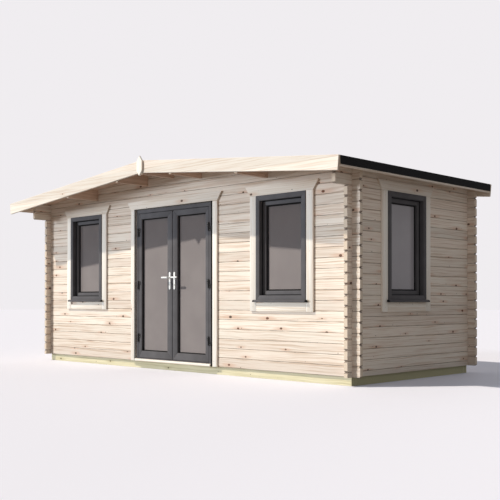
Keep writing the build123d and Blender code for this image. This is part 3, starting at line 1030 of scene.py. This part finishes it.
@dataclass
class Base:
    """Bearers, joists, floor and the doorway's sill board."""

    rows: int = 20
    gap: float = 0.0008
    board_ease: float = 0.002
    sill_ease: float = 0.004

    def boards(self) -> Piece:
        """Model the floor boards, the first row fitted round the door frame.

        Returns:
            The boards.
        """
        low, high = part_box("floor_boards")
        door_low, door_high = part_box("door_frame")
        width = (high.y - low.y) / self.rows
        slack = self.gap / 2
        far = low.y + width - slack
        spans = (
            ((low.x, door_low.x - self.gap), (low.y, far)),
            ((door_low.x, door_high.x), (door_high.y + self.gap, far)),
            ((door_high.x + self.gap, high.x), (low.y, far)),
            ((low.x, high.x), (low.y + width + slack, far + width)),
        )
        boards = [Shop.block("floor_board", x, y, (low.z, high.z)) for x, y in spans]
        for board in boards:
            Shop.ease(board, self.board_ease)
        Shop.repeat(boards[-1], self.rows - 1, Vector((0.0, width, 0.0)))
        return Shop.join("floor_boarding", boards)

    def build(self, finishes: Finishes) -> None:
        """Lay the floor and finish the rest of the base.

        Args:
            finishes: The cabin's materials.
        """
        Shop.fit(self.boards(), finishes.flooring, "spruce_board", "cabin", "floor_boards")
        for name, ease, finish, slot in (
            ("foundation_bearers", self.board_ease, finishes.treated_x, "treated_timber"),
            ("floor_joists", self.board_ease, finishes.treated_y, "treated_timber"),
            ("door_sill_board", self.sill_ease, finishes.sill, "spruce_board"),
        ):
            Shop.fit(Shop.eased_twin(name, ease), finish, slot, "cabin", name)


@dataclass
class Roof:
    """Roof boarding, felt, bargeboards and what fixes them."""

    board_count: int = 26
    board_gap: float = 0.0006
    board_thickness: float = 0.019
    groove: float = 0.004
    end_gap: float = 0.0024
    timber_ease: float = 0.003
    felt_thickness: float = 0.003
    lap_thickness: float = 0.002
    lap_sink: float = 0.0002
    lap_inset: float = 0.012
    lap_edges: Span = (1.05, 2.03)
    lap_cover: float = 0.08
    cap_reach: float = 0.165
    nail_radius: float = 0.0055
    nail_height: float = 0.0016
    nail_sink: float = 0.0005
    nail_inset: float = 0.03
    nail_step: float = 0.1
    ease_share: float = 0.4

    def slope(self) -> float:
        """Pitch of the roof in radians, from the boards' box."""
        low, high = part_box("right_roof_boards")
        return math.atan((high.z - low.z - self.board_thickness) / (high.x - low.x))

    def tilt(self, piece: Piece) -> Piece:
        """Lay a piece on the right slope, from flat with the boards' underside at Z 0 and the ridge at X 0.

        Args:
            piece: The flat piece.

        Returns:
            The same piece, settled on the slope.
        """
        pitch = self.slope()
        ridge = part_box("right_roof_boards")[1].z - self.board_thickness / math.cos(pitch)
        piece.rotation_euler = (0.0, pitch, 0.0)
        piece.location = (0.0, 0.0, ridge)
        return Shop.settle(piece)

    def boards(self) -> Piece:
        """Model the right slope's boards, grooved on the underside.

        Returns:
            The boards.
        """
        low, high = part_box("right_roof_boards")
        length = (high.x - 2 * self.end_gap) / math.cos(self.slope())
        width = (high.y - low.y) / self.board_count
        board = Shop.block(
            "right_roof_boarding",
            (self.end_gap, self.end_gap + length),
            (low.y + self.board_gap / 2, low.y + width - self.board_gap / 2),
            (0.0, self.board_thickness),
        )

        def long_and_low(first: Vector, second: Vector) -> bool:
            """Say whether an edge runs along the board's underside."""
            return max(first.z, second.z) < 0.001 and abs(first.y - second.y) < 1e-6

        Shop.bevel_edges(board, long_and_low, self.groove, 1)
        return self.tilt(Shop.repeat(board, self.board_count, Vector((0.0, width, 0.0))))

    def strip(self, name: str, x: Span, level: float) -> Piece:
        """Model one flat strip of felt along the roof.

        Args:
            name: The piece's name.
            x: Its upper and lower edge.
            level: What it lies on.

        Returns:
            The strip, with sharp edges.
        """
        low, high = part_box("right_roof_felt")
        y = (low.y + self.lap_inset, high.y - self.lap_inset)
        return Shop.block(name, x, y, (level - self.lap_sink, level + self.lap_thickness))

    def laps(self) -> Piece:
        """Model the right slope's upper strips of felt, each lapped over the one below.

        Returns:
            The strips.
        """
        base = self.board_thickness + self.felt_thickness
        top_edge, low_edge = self.lap_edges
        strips = [
            self.strip("felt_strip", (0.0, top_edge), base + self.lap_thickness),
            self.strip("felt_strip", (top_edge - self.lap_cover, low_edge), base),
        ]
        for strip in strips:
            Shop.ease(strip, self.lap_thickness * self.ease_share)
        return self.tilt(Shop.join("right_felt_laps", strips))

    def cap(self) -> Piece:
        """Model the strip of felt folded over the ridge.

        Returns:
            The strip.
        """
        pitch = self.slope()
        fall = self.cap_reach * math.tan(pitch)
        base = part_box("right_roof_felt")[1].z + 2 * self.lap_thickness / math.cos(pitch) - fall
        strip = self.strip("ridge_felt", (-self.cap_reach, self.cap_reach), base)
        with Shop.editing(strip):
            bpy.ops.mesh.select_all(action="SELECT")
            bpy.ops.mesh.bisect(plane_co=(0.0, 0.0, 0.0), plane_no=(1.0, 0.0, 0.0))
        Shop.choose(strip, Element.VERT, lambda vertex: abs(vertex.co.x) < 1e-4)
        with Shop.editing(strip):
            bpy.ops.transform.translate(value=(0.0, 0.0, fall))
        return Shop.ease(strip, self.lap_thickness * self.ease_share)

    def nails(self) -> Piece:
        """Model the right slope's rows of clout nails, above each lap's edge and along the ridge strip.

        Returns:
            The nails.
        """
        low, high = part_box("right_roof_felt")
        first = low.y + self.lap_inset + self.nail_inset
        count = int((high.y - low.y - 2 * (first - low.y)) / self.nail_step) + 1
        base = self.board_thickness + self.felt_thickness
        top_edge, low_edge = self.lap_edges
        rows = []
        for edge, layers in ((self.cap_reach, 3), (top_edge, 2), (low_edge, 1)):
            level = base + layers * self.lap_thickness
            foot = Vector((edge - self.nail_inset, first, level - self.nail_sink))
            top = foot + Vector((0.0, 0.0, self.nail_height + self.nail_sink))
            nail = Shop.rod("nail", foot, top, self.nail_radius, 10)
            Shop.ease(nail, self.nail_height * self.ease_share, 1)
            rows.append(Shop.repeat(nail, count, Vector((0.0, self.nail_step, 0.0))))
        return self.tilt(Shop.join("right_felt_nails", rows))

    def build(self, finishes: Finishes) -> None:
        """Model and finish the roof.

        Args:
            finishes: The cabin's materials.
        """
        for right, finish, slot, word in (
            (self.boards(), finishes.roofing, "spruce_board", "roof_boards"),
            (self.laps(), finishes.felt, "roofing_felt", None),
            (self.nails(), finishes.nail, "anthracite_hinge", None),
        ):
            left = Shop.copy(right, right.name.replace("right", "left"), Vector(), 180.0)
            for side, piece in (("right", right), ("left", left)):
                Shop.fit(piece, finish, slot, "cabin", *([f"{side}_{word}"] if word else []))
        Shop.fit(self.cap(), finishes.felt, "roofing_felt", "cabin")
        for side in Side:
            Shop.dress(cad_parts[f"{side.word}_roof_felt"], finishes.felt)
        for name, finish in (
            ("roof_purlins", finishes.purlin),
            ("eave_boards", finishes.board_y),
            ("front_bargeboards", finishes.barge),
            ("back_bargeboards", finishes.barge),
            ("gable_finials", finishes.trim_z),
        ):
            Shop.fit(Shop.eased_twin(name, self.timber_ease), finish, "spruce_board", "cabin", name)


@dataclass
class TrimBoards:
    """Boards beside and over an opening, the head board splayed out towards its top.

    Attributes:
        half: Half the width of the opening's frame.
        crown: Half the head board's length at its top.
        y: Front and back.
        foot: Level of the uprights' feet.
        head: Level of the frame's head.
        top: Level of the head board's top.
    """

    half: float
    crown: float
    y: Span
    foot: float
    head: float
    top: float

    width: ClassVar[float] = 0.095
    seat: ClassVar[float] = 0.0003
    ease: ClassVar[float] = 0.0025

    def uprights(self, name: str) -> Piece:
        """Model the boards beside the opening.

        Args:
            name: The piece's name.

        Returns:
            The boards.
        """
        inner = self.half + self.seat
        boards = []
        for side in Side:
            x = (side.value * inner, side.value * (inner + self.width))
            board = Shop.block(f"{name}_board", x, self.y, (self.foot, self.head))
            boards.append(Shop.ease(board, self.ease))
        return Shop.join(name, boards)

    def lintel(self, name: str) -> Piece:
        """Model the board over the opening.

        Args:
            name: The piece's name.

        Returns:
            The board.
        """
        level = self.head + self.seat
        outer = self.half + self.seat + self.width
        board = Shop.block(name, (-self.crown, self.crown), self.y, (level, self.top))
        for sign in (1, -1):
            lean = Vector((sign * (self.top - level), 0.0, outer - self.crown))
            Shop.cut(board, Vector((sign * outer, 0.0, level)), lean)
        return Shop.ease(board, self.ease)


@dataclass
class Windows:
    """Four equal windows with frames, sashes, seals and trim boards."""

    recess: float = 0.052
    sash_face: float = 0.050
    pane_recess: float = 0.032
    seat: float = 0.0003
    seal: float = 0.009
    seal_depth: float = 0.006
    bead: float = 0.014
    bead_depth: float = 0.010
    inner_bead: Span = (0.0035, 0.0005)
    seal_ease: float = 0.0012
    ease: float = 0.003
    cill_height: float = 0.026
    cill_slope: float = 0.3
    cill_ease: float = 0.002
    cap_width: float = 0.022
    cap_ease: float = 0.0035
    trim_thickness: float = 0.022
    trim_splay: float = 0.074
    screw_inset: float = 0.05
    head_screw_share: float = 0.9

    def __post_init__(self) -> None:
        """Take the sizes of one window from the right front one, about its own middle."""
        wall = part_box("front_wall_right_logs")[0].y
        sash_low, sash_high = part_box("front_right_window_sash")
        frame_low, frame_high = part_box("front_right_window_frame")
        face = frame_high.z - sash_high.z
        sash_half = (sash_high.x - sash_low.x) / 2
        self.wall = wall
        self.middle = (sash_low.x + sash_high.x) / 2
        self.half = sash_half + face
        self.sill, self.head = sash_low.z - face, frame_high.z
        self.sash_outline = ((-sash_half, sash_half), (sash_low.z, sash_high.z))
        self.pane_outline = Shop.inset(self.sash_outline, self.sash_face + self.seat)
        self.sash_y = (sash_low.y - wall, sash_high.y - wall)
        self.frame_y = (self.sash_y[0] - self.recess, frame_high.y - wall)
        self.nose = frame_low.y - wall
        self.cill_low = frame_low.z
        self.cill_half = (frame_high.x - frame_low.x) / 2
        low, high = (corner.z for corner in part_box("window_trims"))
        crown = self.half + TrimBoards.seat + TrimBoards.width + self.trim_splay
        self.trim = TrimBoards(self.half, crown, (-self.trim_thickness, 0.0), low, self.head, high)

    def places(self) -> dict[str, tuple[Facing, Vector]]:
        """Where each window stands.

        Returns:
            The facing and the place of each window, by name.
        """
        side_middle = sum(corner.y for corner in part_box("right_side_window_sash")) / 2
        return {
            "front_left": (Facing.FRONT, Vector((-self.middle, self.wall, 0))),
            "front_right": (Facing.FRONT, Vector((self.middle, self.wall, 0))),
            "left_side": (Facing.LEFT, Vector((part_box("left_wall_logs")[0].x, side_middle, 0))),
            "right_side": (Facing.RIGHT, Vector((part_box("right_wall_logs")[1].x, side_middle, 0))),
        }

    def frame(self) -> Piece:
        """Model the outer frame with its drip cill.

        Returns:
            The frame.
        """
        outer = ((-self.half, self.half), (self.sill, self.head))
        inner = Shop.inset(self.sash_outline, -self.seat)
        ring = Shop.mitred_ring("window_frame", outer, inner, self.frame_y, self.ease)
        end = self.cill_half - self.cap_width
        return Shop.join("window_frame", [ring, self.cill("window_cill", (-end, end), self.cill_ease)])

    def cill(self, name: str, x: Span, ease: float) -> Piece:
        """Model a stretch of the drip cill, its top falling to the front.

        Args:
            name: The piece's name.
            x: Its ends.
            ease: Rounding of its edges.

        Returns:
            The stretch.
        """
        high = self.cill_low + self.cill_height
        piece = Shop.block(name, x, (self.nose, self.frame_y[0]), (self.cill_low, high))
        Shop.cut(piece, Vector((0, self.frame_y[0], high)), Vector((0, -self.cill_slope, 1)))
        return Shop.ease(piece, ease)

    def cill_caps(self) -> Piece:
        """Model the black caps on the cill's ends.

        Returns:
            The caps.
        """
        inner, outer = self.cill_half - self.cap_width, self.cill_half
        spans = [(side.value * inner, side.value * outer) for side in Side]
        return Shop.join("cill_caps", [self.cill("cill_cap", x, self.cap_ease) for x in spans])

    def sash(self) -> Piece:
        """Model the sash inside the frame."""
        inner = Shop.inset(self.pane_outline, -self.seat)
        return Shop.mitred_ring("window_sash", self.sash_outline, inner, self.sash_y, self.ease)

    def seals(self) -> Piece:
        """Model the black seals round the sash and round the pane, outside and inside.

        Returns:
            The seals.
        """
        front, back = self.sash_y
        pane = front + self.pane_recess
        deep, shallow = self.inner_bead
        rings = []
        for outer, width, y in (
            (self.pane_outline, self.bead, (pane - self.bead_depth, pane - self.seat)),
            (self.pane_outline, self.bead, (back - deep, back - shallow)),
            (self.sash_outline, self.seal, (front - self.seal_depth, front - self.seat)),
        ):
            inner = Shop.inset(outer, width)
            rings.append(Shop.mitred_ring("window_seal", outer, inner, y, self.seal_ease))
        return Shop.join("window_seals", rings)

    def trim_levels(self) -> Piece:
        """Model the trim boards under and over the window.

        Returns:
            The boards.
        """
        trim = self.trim
        z = (trim.foot, self.sill - self.seat)
        foot = Shop.block("trim_foot", (-self.half, self.half), trim.y, z)
        return Shop.join("trim_levels", [Shop.ease(foot, trim.ease), trim.lintel("trim_head")])

    def screws(self) -> Piece:
        """Model the screws that hold the trim boards.

        Returns:
            The screws.
        """
        low, head = self.trim.foot, self.trim.head
        column = self.half + self.trim.width / 2
        front = -self.trim_thickness
        rows = (low + self.screw_inset, (low + head) / 2, head - self.screw_inset)
        spots = [Vector((side.value * column, front, level)) for side in Side for level in rows]
        level = (head + self.trim.top) / 2
        reach = self.half * self.head_screw_share
        spots += [Vector((side.value * reach, front, level)) for side in Side]
        return Shop.join("trim_screws", [Shop.screw("trim_screw", spot) for spot in spots])

    def build(self, finishes: Finishes) -> None:
        """Model one window and set copies of it in all four places.

        Args:
            finishes: The cabin's materials.
        """
        plastic, board = "anthracite_plastic", "spruce_board"
        frame, seal, screw = finishes.anthracite, finishes.seal, finishes.screw
        uprights = self.trim.uprights("trim_uprights")
        models = (
            (self.frame(), "frame", frame, frame, plastic, "{}_window_frame"),
            (self.sash(), "sash", frame, frame, plastic, "{}_window_sash"),
            (self.cill_caps(), "cill_caps", seal, seal, plastic, None),
            (self.seals(), "seals", seal, seal, plastic, None),
            (uprights, "trim_uprights", finishes.trim_z, finishes.trim_z_side, board, "window_trims"),
            (self.trim_levels(), "trim_levels", finishes.trim_x, finishes.trim_y, board, "window_trims"),
            (self.screws(), "trim_screws", screw, screw, "anthracite_hinge", None),
        )
        for name, (facing, place) in self.places().items():
            for model, word, on_front, on_side, slot, node in models:
                piece = Shop.copy(model, f"{name}_{word}_dressed", place, facing.value)
                finish = on_front if facing is Facing.FRONT else on_side
                Shop.fit(piece, finish, slot, "cabin", *([node.format(name)] if node else []))
        for model, *_ in models:
            bpy.data.objects.remove(model)
        Shop.dress(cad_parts["window_panes"], finishes.glass)


@dataclass
class Hinges:
    """The doors' hinge halves, moving ones on the leaves above fixed ones on the frame."""

    half: float = 0.05
    gap: float = 0.0004
    barrel_radius: float = 0.008
    barrel_ease: float = 0.0015
    knob_height: float = 0.004
    knob_share: float = 0.6
    flag_start: float = 0.0025
    flag_width: float = 0.034
    flag_thickness: float = 0.004
    flag_corner: float = 0.004
    web_inset: float = 0.002
    plate_ease: float = 0.0006
    screw_column: float = 0.62
    screw_rows: Span = (0.25, 0.75)
    screw_radius: float = 0.0038

    def levels(self) -> list[float]:
        """Levels at which the moving halves rest on the fixed ones."""
        low, high = (corner.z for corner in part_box("right_door_hinges"))
        return [low, (low + high - self.half) / 2, high - self.half]

    def halves(self, name: str, side: Side, moving: bool) -> tuple[Piece, Piece]:
        """Model one leaf's moving halves, or the fixed ones that carry them.

        Args:
            name: The piece's name.
            side: The leaf's side.
            moving: Whether these are the moving halves.

        Returns:
            The halves and their screws.
        """
        rise = 1 if moving else -1
        toward = -rise * side.value
        posts_low, posts_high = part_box("door_hinge_posts")
        face = posts_high.y
        front = face - self.flag_thickness
        axis_x = side.value * (posts_high.x - self.flag_width)
        axis_y = posts_low.y + self.barrel_radius
        heights = (self.gap, self.half, self.half + self.knob_height)
        parts, screws = [], []
        for level in self.levels():
            start, end, tip = (Vector((axis_x, axis_y, level + rise * height)) for height in heights)
            barrel = Shop.rod("hinge_barrel", start, end, self.barrel_radius, 28)
            knob = Shop.rod("hinge_knob", end, tip, self.barrel_radius * self.knob_share, 20)
            parts += [Shop.ease(rod, self.barrel_ease) for rod in (barrel, knob)]
            reach = (axis_x + toward * self.flag_start, axis_x + toward * self.flag_width)
            flag = Shop.block("hinge_flag", reach, (front, face), (start.z, end.z))
            Shop.round_corners(flag, self.flag_corner, 4)
            reach = (axis_x, axis_x + toward * self.barrel_radius)
            inset = rise * self.web_inset
            web = Shop.block("hinge_web", reach, (axis_y, face), (start.z + inset, end.z - inset))
            parts += [Shop.ease(plate, self.plate_ease, 1) for plate in (flag, web)]
            column = axis_x + toward * self.flag_width * self.screw_column
            for share in self.screw_rows:
                spot = Vector((column, front, start.z + (end.z - start.z) * share))
                screws.append(Shop.screw("hinge_screw", spot, self.screw_radius))
        return Shop.join(name, parts), Shop.join(f"{name}_screws", screws)


@dataclass
class Handles:
    """Levers, handle plates and locks on both faces of the leaves."""

    lever_thickness: float = 0.013
    lever_corner: float = 0.0096
    lever_ease: float = 0.004
    neck_inset: float = 0.010
    neck_radius: float = 0.009
    neck_gap: float = 0.004
    neck_ease: float = 0.0008
    plate_thickness: float = 0.008
    plate_corner: float = 0.012
    plate_ease: float = 0.0025
    lock_level: float = 0.055
    lock_radius: float = 0.008
    lock_proud: float = 0.002
    lock_sink: float = 0.004
    lock_ease: float = 0.001

    @staticmethod
    def slabs(node: str, thickness: float, corner: float, ease: float) -> list[Piece]:
        """Model a rounded slab at the front and at the back of a node.

        Args:
            node: The node whose box they fill.
            thickness: A slab's thickness.
            corner: Rounding of its corners.
            ease: Rounding of its edges.

        Returns:
            The two slabs.
        """
        low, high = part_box(node)
        made = []
        for y in ((low.y, low.y + thickness), (high.y - thickness, high.y)):
            slab = Shop.block("slab", (low.x, high.x), y, (low.z, high.z))
            Shop.round_corners(slab, corner, 6)
            made.append(Shop.ease(slab, ease, 3))
        return made

    @staticmethod
    def peg(x: float, y: Span, z: float, radius: float, sides: int, ease: float) -> Piece:
        """Model a round peg along Y."""
        start, end = (Vector((x, place, z)) for place in y)
        return Shop.ease(Shop.rod("peg", start, end, radius, sides), ease)

    def lever(self, side: Side) -> Piece:
        """Model one leaf's rounded levers on their necks.

        Args:
            side: The leaf's side.

        Returns:
            The levers.
        """
        node = f"{side.word}_lever"
        low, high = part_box(node)
        leaf_low, leaf_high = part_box(f"{side.word}_door_leaf")
        axis = high.x - self.neck_inset if side is Side.LEFT else low.x + self.neck_inset
        inside = self.lever_thickness / 2
        parts = self.slabs(node, self.lever_thickness, self.lever_corner, self.lever_ease)
        for y in (
            (low.y + inside, leaf_low.y - self.neck_gap),
            (leaf_high.y + self.neck_gap, high.y - inside),
        ):
            parts.append(self.peg(axis, y, (low.z + high.z) / 2, self.neck_radius, 28, self.neck_ease))
        return Shop.join(f"{node}_dressed", parts)

    def plates(self, side: Side) -> Piece:
        """Model one leaf's rounded handle plates.

        Args:
            side: The leaf's side.

        Returns:
            The plates.
        """
        node = f"{side.word}_handle_plates"
        slabs = self.slabs(node, self.plate_thickness, self.plate_corner, self.plate_ease)
        return Shop.join(f"{node}_dressed", slabs)

    def locks(self, side: Side) -> Piece:
        """Model the dark cylinder locks in the plates.

        Args:
            side: The leaf's side.

        Returns:
            The locks.
        """
        low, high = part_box(f"{side.word}_handle_plates")
        middle, level = (low.x + high.x) / 2, low.z + self.lock_level
        parts = []
        for y in (
            (low.y - self.lock_proud, low.y + self.lock_sink),
            (high.y + self.lock_proud, high.y - self.lock_sink),
        ):
            parts.append(self.peg(middle, y, level, self.lock_radius, 24, self.lock_ease))
        return Shop.join(f"{side.word}_door_lock", parts)


@dataclass
class Doors:
    """The double door: frame, leaves, panes, seals, a black strip of painted shade and trim boards, with
    its hinges and handles.
    """

    ease: float = 0.003
    stop_ease: float = 0.002
    clear: float = 0.005
    lip: float = 0.015
    bead: float = 0.012
    bead_seat: float = 0.0002
    bead_depth: float = 0.010
    inner_bead_depth: float = 0.006
    bead_ease: float = 0.002
    # A black strip of painted shade round the frame's edges, for the shaded side faces of a frame standing
    # proud of its trim
    edge_seal_jamb: float = 0.022
    edge_seal_head: float = 0.008
    edge_seal_thickness: float = 0.003
    edge_seal_ease: float = 0.001
    screw_inset: float = 0.06
    head_screws: tuple[float, ...] = (-0.95, -0.32, 0.32, 0.95)

    @staticmethod
    def outline(low: Vector, high: Vector) -> Outline:
        """A box's outline along X and along Z."""
        return (low.x, high.x), (low.z, high.z)

    def leaf(self, side: Side) -> Piece:
        """Model one leaf's frame round its pane.

        Args:
            side: The leaf's side.

        Returns:
            The leaf.
        """
        low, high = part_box(f"{side.word}_door_leaf")
        outer = self.outline(low, high)
        inner = self.outline(*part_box(f"{side.word}_door_pane"))
        return Shop.mitred_ring(f"{side.word}_door_leaf_dressed", outer, inner, (low.y, high.y), self.ease)

    def beads(self, side: Side) -> Piece:
        """Model the black bead round a leaf's pane, outside and inside.

        Args:
            side: The leaf's side.

        Returns:
            The bead.
        """
        low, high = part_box(f"{side.word}_door_pane")
        outer = self.outline(low, high)
        inner = Shop.inset(outer, self.bead)
        rings = []
        for y in (
            (low.y - self.bead_depth, low.y - self.bead_seat),
            (high.y + self.bead_seat, high.y + self.inner_bead_depth),
        ):
            rings.append(Shop.mitred_ring("door_bead", outer, inner, y, self.bead_ease))
        return Shop.join(f"{side.word}_door_bead", rings)

    def frame(self) -> Piece:
        """Model the outer frame with its stop.

        Returns:
            The frame.
        """
        low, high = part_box("door_frame")
        leaf_low, leaf_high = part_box("left_door_leaf")[0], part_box("right_door_leaf")[1]
        back = leaf_high.y + self.clear
        outer = self.outline(low, high)
        inner = Shop.inset(self.outline(leaf_low, leaf_high), -self.clear)
        (left, right), (foot, head) = inner
        stop = ((left + self.lip, right - self.lip), (foot, head - self.lip))
        ring = Shop.mitred_ring("door_frame_ring", outer, inner, (low.y, back), self.ease)
        stops = Shop.mitred_ring("door_stop", outer, stop, (back, high.y), self.stop_ease)
        return Shop.join("door_frame_dressed", [ring, stops])

    def edge_seal(self) -> Piece:
        """Model a black strip along the frame's edges: painted shade for the shaded side faces of a frame
        standing proud of its trim boards.

        Returns:
            The strip's two uprights and its head.
        """
        frame_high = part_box("door_frame")[1]
        edge, level = frame_high.x, frame_high.z
        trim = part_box("door_trim")[0]
        y = (trim.y - self.edge_seal_thickness, trim.y)
        top = level + self.edge_seal_head
        strips = []
        for side in Side:
            x = (side.value * edge, side.value * (edge + self.edge_seal_jamb))
            strips.append(Shop.block("edge_seal_upright", x, y, (trim.z, top)))
        strips.append(Shop.block("edge_seal_head", (-edge, edge), y, (level, top)))
        return Shop.join("door_edge_seal", [Shop.ease(strip, self.edge_seal_ease) for strip in strips])

    def trim_boards(self) -> TrimBoards:
        """Take the trim boards' sizes from their solids.

        Returns:
            The boards, not yet modelled.
        """
        low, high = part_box("door_trim")
        frame_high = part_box("door_frame")[1]
        return TrimBoards(frame_high.x, high.x, (low.y, high.y), low.z, frame_high.z, high.z)

    def trim_screws(self, trim: TrimBoards) -> Piece:
        """Model the screws that hold the trim boards.

        Args:
            trim: The boards.

        Returns:
            The screws.
        """
        low, high = trim.foot, trim.top
        front = trim.y[0]
        inner = trim.half + trim.seat
        column = inner + trim.width / 2
        rows = (
            low + self.screw_inset,
            (low * 2 + high) / 3,
            (low + high * 2) / 3,
            trim.head - self.screw_inset,
        )
        spots = [Vector((side.value * column, front, level)) for side in Side for level in rows]
        level = (trim.head + trim.seat + high) / 2
        spots += [Vector((share * inner, front, level)) for share in self.head_screws]
        return Shop.join("door_trim_screws", [Shop.screw("door_trim_screw", spot) for spot in spots])

    def build_side(self, side: Side, finishes: Finishes) -> None:
        """Model and finish one leaf with its hinges and handles.

        Args:
            side: The leaf's side.
            finishes: The cabin's materials.
        """
        word, door = side.word, f"{side.word}_door"
        plastic, dark = "anthracite_plastic", "anthracite_hinge"
        handles, hinges = Handles(), Hinges()
        Shop.fit(self.leaf(side), finishes.anthracite, plastic, door, f"{word}_door_leaf")
        Shop.fit(self.beads(side), finishes.seal, plastic, door)
        Shop.fit(handles.plates(side), finishes.white, "white_handle", door, f"{word}_handle_plates")
        Shop.fit(handles.locks(side), finishes.screw, dark, door)
        Shop.fit(handles.lever(side), finishes.white, "white_handle", f"{door}_lever", f"{word}_lever")
        Shop.dress(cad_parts[f"{word}_door_pane"], finishes.glass)
        for kind, body, node in (
            ("moving", door, f"{word}_door_hinges"),
            ("fixed", "cabin", "door_hinge_posts"),
        ):
            halves, screws = hinges.halves(f"{word}_{kind}_hinges", side, kind == "moving")
            Shop.fit(halves, finishes.hinge, dark, body, node)
            Shop.fit(screws, finishes.screw, dark, body)

    def build(self, finishes: Finishes) -> None:
        """Model and finish the double door.

        Args:
            finishes: The cabin's materials.
        """
        Shop.fit(self.frame(), finishes.anthracite, "anthracite_plastic", "cabin", "door_frame")
        # Black strip of painted shade along the frame's edges
        Shop.fit(self.edge_seal(), finishes.seal, "anthracite_plastic", "cabin")
        trim = self.trim_boards()
        uprights, head = trim.uprights("door_trim_uprights"), trim.lintel("door_trim_head")
        Shop.fit(uprights, finishes.trim_z, "spruce_board", "cabin", "door_trim")
        Shop.fit(head, finishes.trim_x, "spruce_board", "cabin", "door_trim")
        Shop.fit(self.trim_screws(trim), finishes.screw, "anthracite_hinge", "cabin")
        for side in Side:
            self.build_side(side, finishes)


@dataclass(frozen=True)
class Lamp:
    """A soft, far lamp.

    Attributes:
        name: Its name.
        way: The way its light travels.
        strength: Its strength.
        spread: How wide it looks, in degrees.
        colour: Its colour.
        mirrored: Whether it shows in mirrors and glass.
    """

    name: str
    way: Triple
    strength: float
    spread: float
    colour: Colour
    mirrored: bool = False

    def hang(self) -> Piece:
        """Add the lamp to the scene.

        Returns:
            The lamp's object.
        """
        data = bpy.data.lights.new(self.name, "SUN")
        data.energy = self.strength
        data.angle = math.radians(self.spread)
        data.color = self.colour
        lamp = bpy.data.objects.new(self.name, data)
        lamp.rotation_euler = Vector(self.way).to_track_quat("-Z", "Y").to_euler()
        lamp.visible_glossy = self.mirrored
        lamp.visible_transmission = self.mirrored
        bpy.context.scene.collection.objects.link(lamp)
        return lamp


@dataclass
class Studio:
    """Floor, light and camera."""

    place: Triple = (7.872, -7.683, 0.8606)
    yaw: float = 44.24
    pitch: float = 0.46
    lens: float = 61.18
    sensor: float = 36.0
    lift: float = 0.086
    farthest: float = 200.0
    key: Lamp = Lamp("key", (0.8, 1.0, -1.47), 2.80, 1.2, (1.0, 0.91, 0.76), mirrored=True)
    fill: Lamp = Lamp("fill", (0.95, 1.0, -0.12), 2.78, 18.0, (0.825, 0.915, 1.0))
    back: Lamp = Lamp("back", (0.45, -1.0, -0.15), 0.95, 25.0, (1.0, 0.99, 0.98))
    without_fill: tuple[str, ...] = ("window_panes", "left_door_pane", "right_door_pane")
    sky: Colour = (0.97, 0.98, 1.0)
    sky_strength: float = 0.325
    backdrop: Colour = (0.871, 0.847, 0.871)
    floor_size: float = 120.0
    floor_bounce: Colour = (0.24, 0.24, 0.24)
    floor_colour: Colour = (0.825, 0.835, 0.945)

    def camera(self) -> None:
        """Set the camera at the photograph's viewing angle."""
        data = bpy.data.cameras.new("portrait")
        data.lens = self.lens
        data.sensor_width = self.sensor
        data.shift_y = self.lift
        data.clip_end = self.farthest
        camera = bpy.data.objects.new("portrait", data)
        camera.location = self.place
        camera.rotation_euler = (math.radians(90.0 + self.pitch), 0.0, math.radians(self.yaw))
        bpy.context.scene.collection.objects.link(camera)
        bpy.context.scene.camera = camera

    @staticmethod
    def spare(lamp: Piece, *things: Piece) -> None:
        """Keep a lamp off some things.

        Args:
            lamp: The lamp.
            *things: What it leaves unlit.
        """
        spared = bpy.data.collections.new(f"without_{lamp.name}")
        for thing in things:
            spared.objects.link(thing)
        for row in spared.collection_objects:
            row.light_linking.link_state = "EXCLUDE"
        lamp.light_linking.receiver_collection = spared

    def light(self) -> None:
        """Set a key lamp, a broad front fill, a low back lamp and a pale sky."""
        self.key.hang()
        self.spare(self.fill.hang(), *[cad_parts[name] for name in self.without_fill])
        self.back.hang()
        world = bpy.data.worlds.new("sky")
        bpy.context.scene.world = world
        graph = Graph(world, "ShaderNodeOutputWorld")
        glow = graph.node("ShaderNodeBackground", {"Color": self.sky, "Strength": self.sky_strength})
        wall = graph.node("ShaderNodeBackground", {"Color": self.backdrop})
        graph.show(glow.outputs[0], wall.outputs[0])

    def floor(self) -> None:
        """Lay the pale floor, which takes a soft shadow."""
        Shop.clear()
        bpy.ops.mesh.primitive_plane_add(size=self.floor_size, location=(0.0, 0.0, 0.0))
        floor = bpy.context.object
        floor.name = "studio_floor"
        graph = Graph.named("studio_floor")
        bounce = graph.node("ShaderNodeBsdfDiffuse", {"Color": self.floor_bounce})
        shown = graph.node("ShaderNodeBsdfDiffuse", {"Color": self.floor_colour})
        graph.show(bounce.outputs[0], shown.outputs[0])
        Shop.dress(floor, graph.owner)

    def build(self) -> None:
        """Set up camera, light and floor."""
        bpy.context.scene.view_settings.view_transform = "Standard"
        self.camera()
        self.light()
        self.floor()


def main() -> None:
    """Dress the cabin and set up the studio."""
    logging.basicConfig(level=logging.INFO, format="%(name)s: %(message)s")
    finishes = Finishes.build()
    LogWalls().dress(finishes)
    Base().build(finishes)
    Roof().build(finishes)
    Windows().build(finishes)
    Doors().build(finishes)
    Studio().build()
    Shop.clear()


if __name__ == "__main__":
    main()
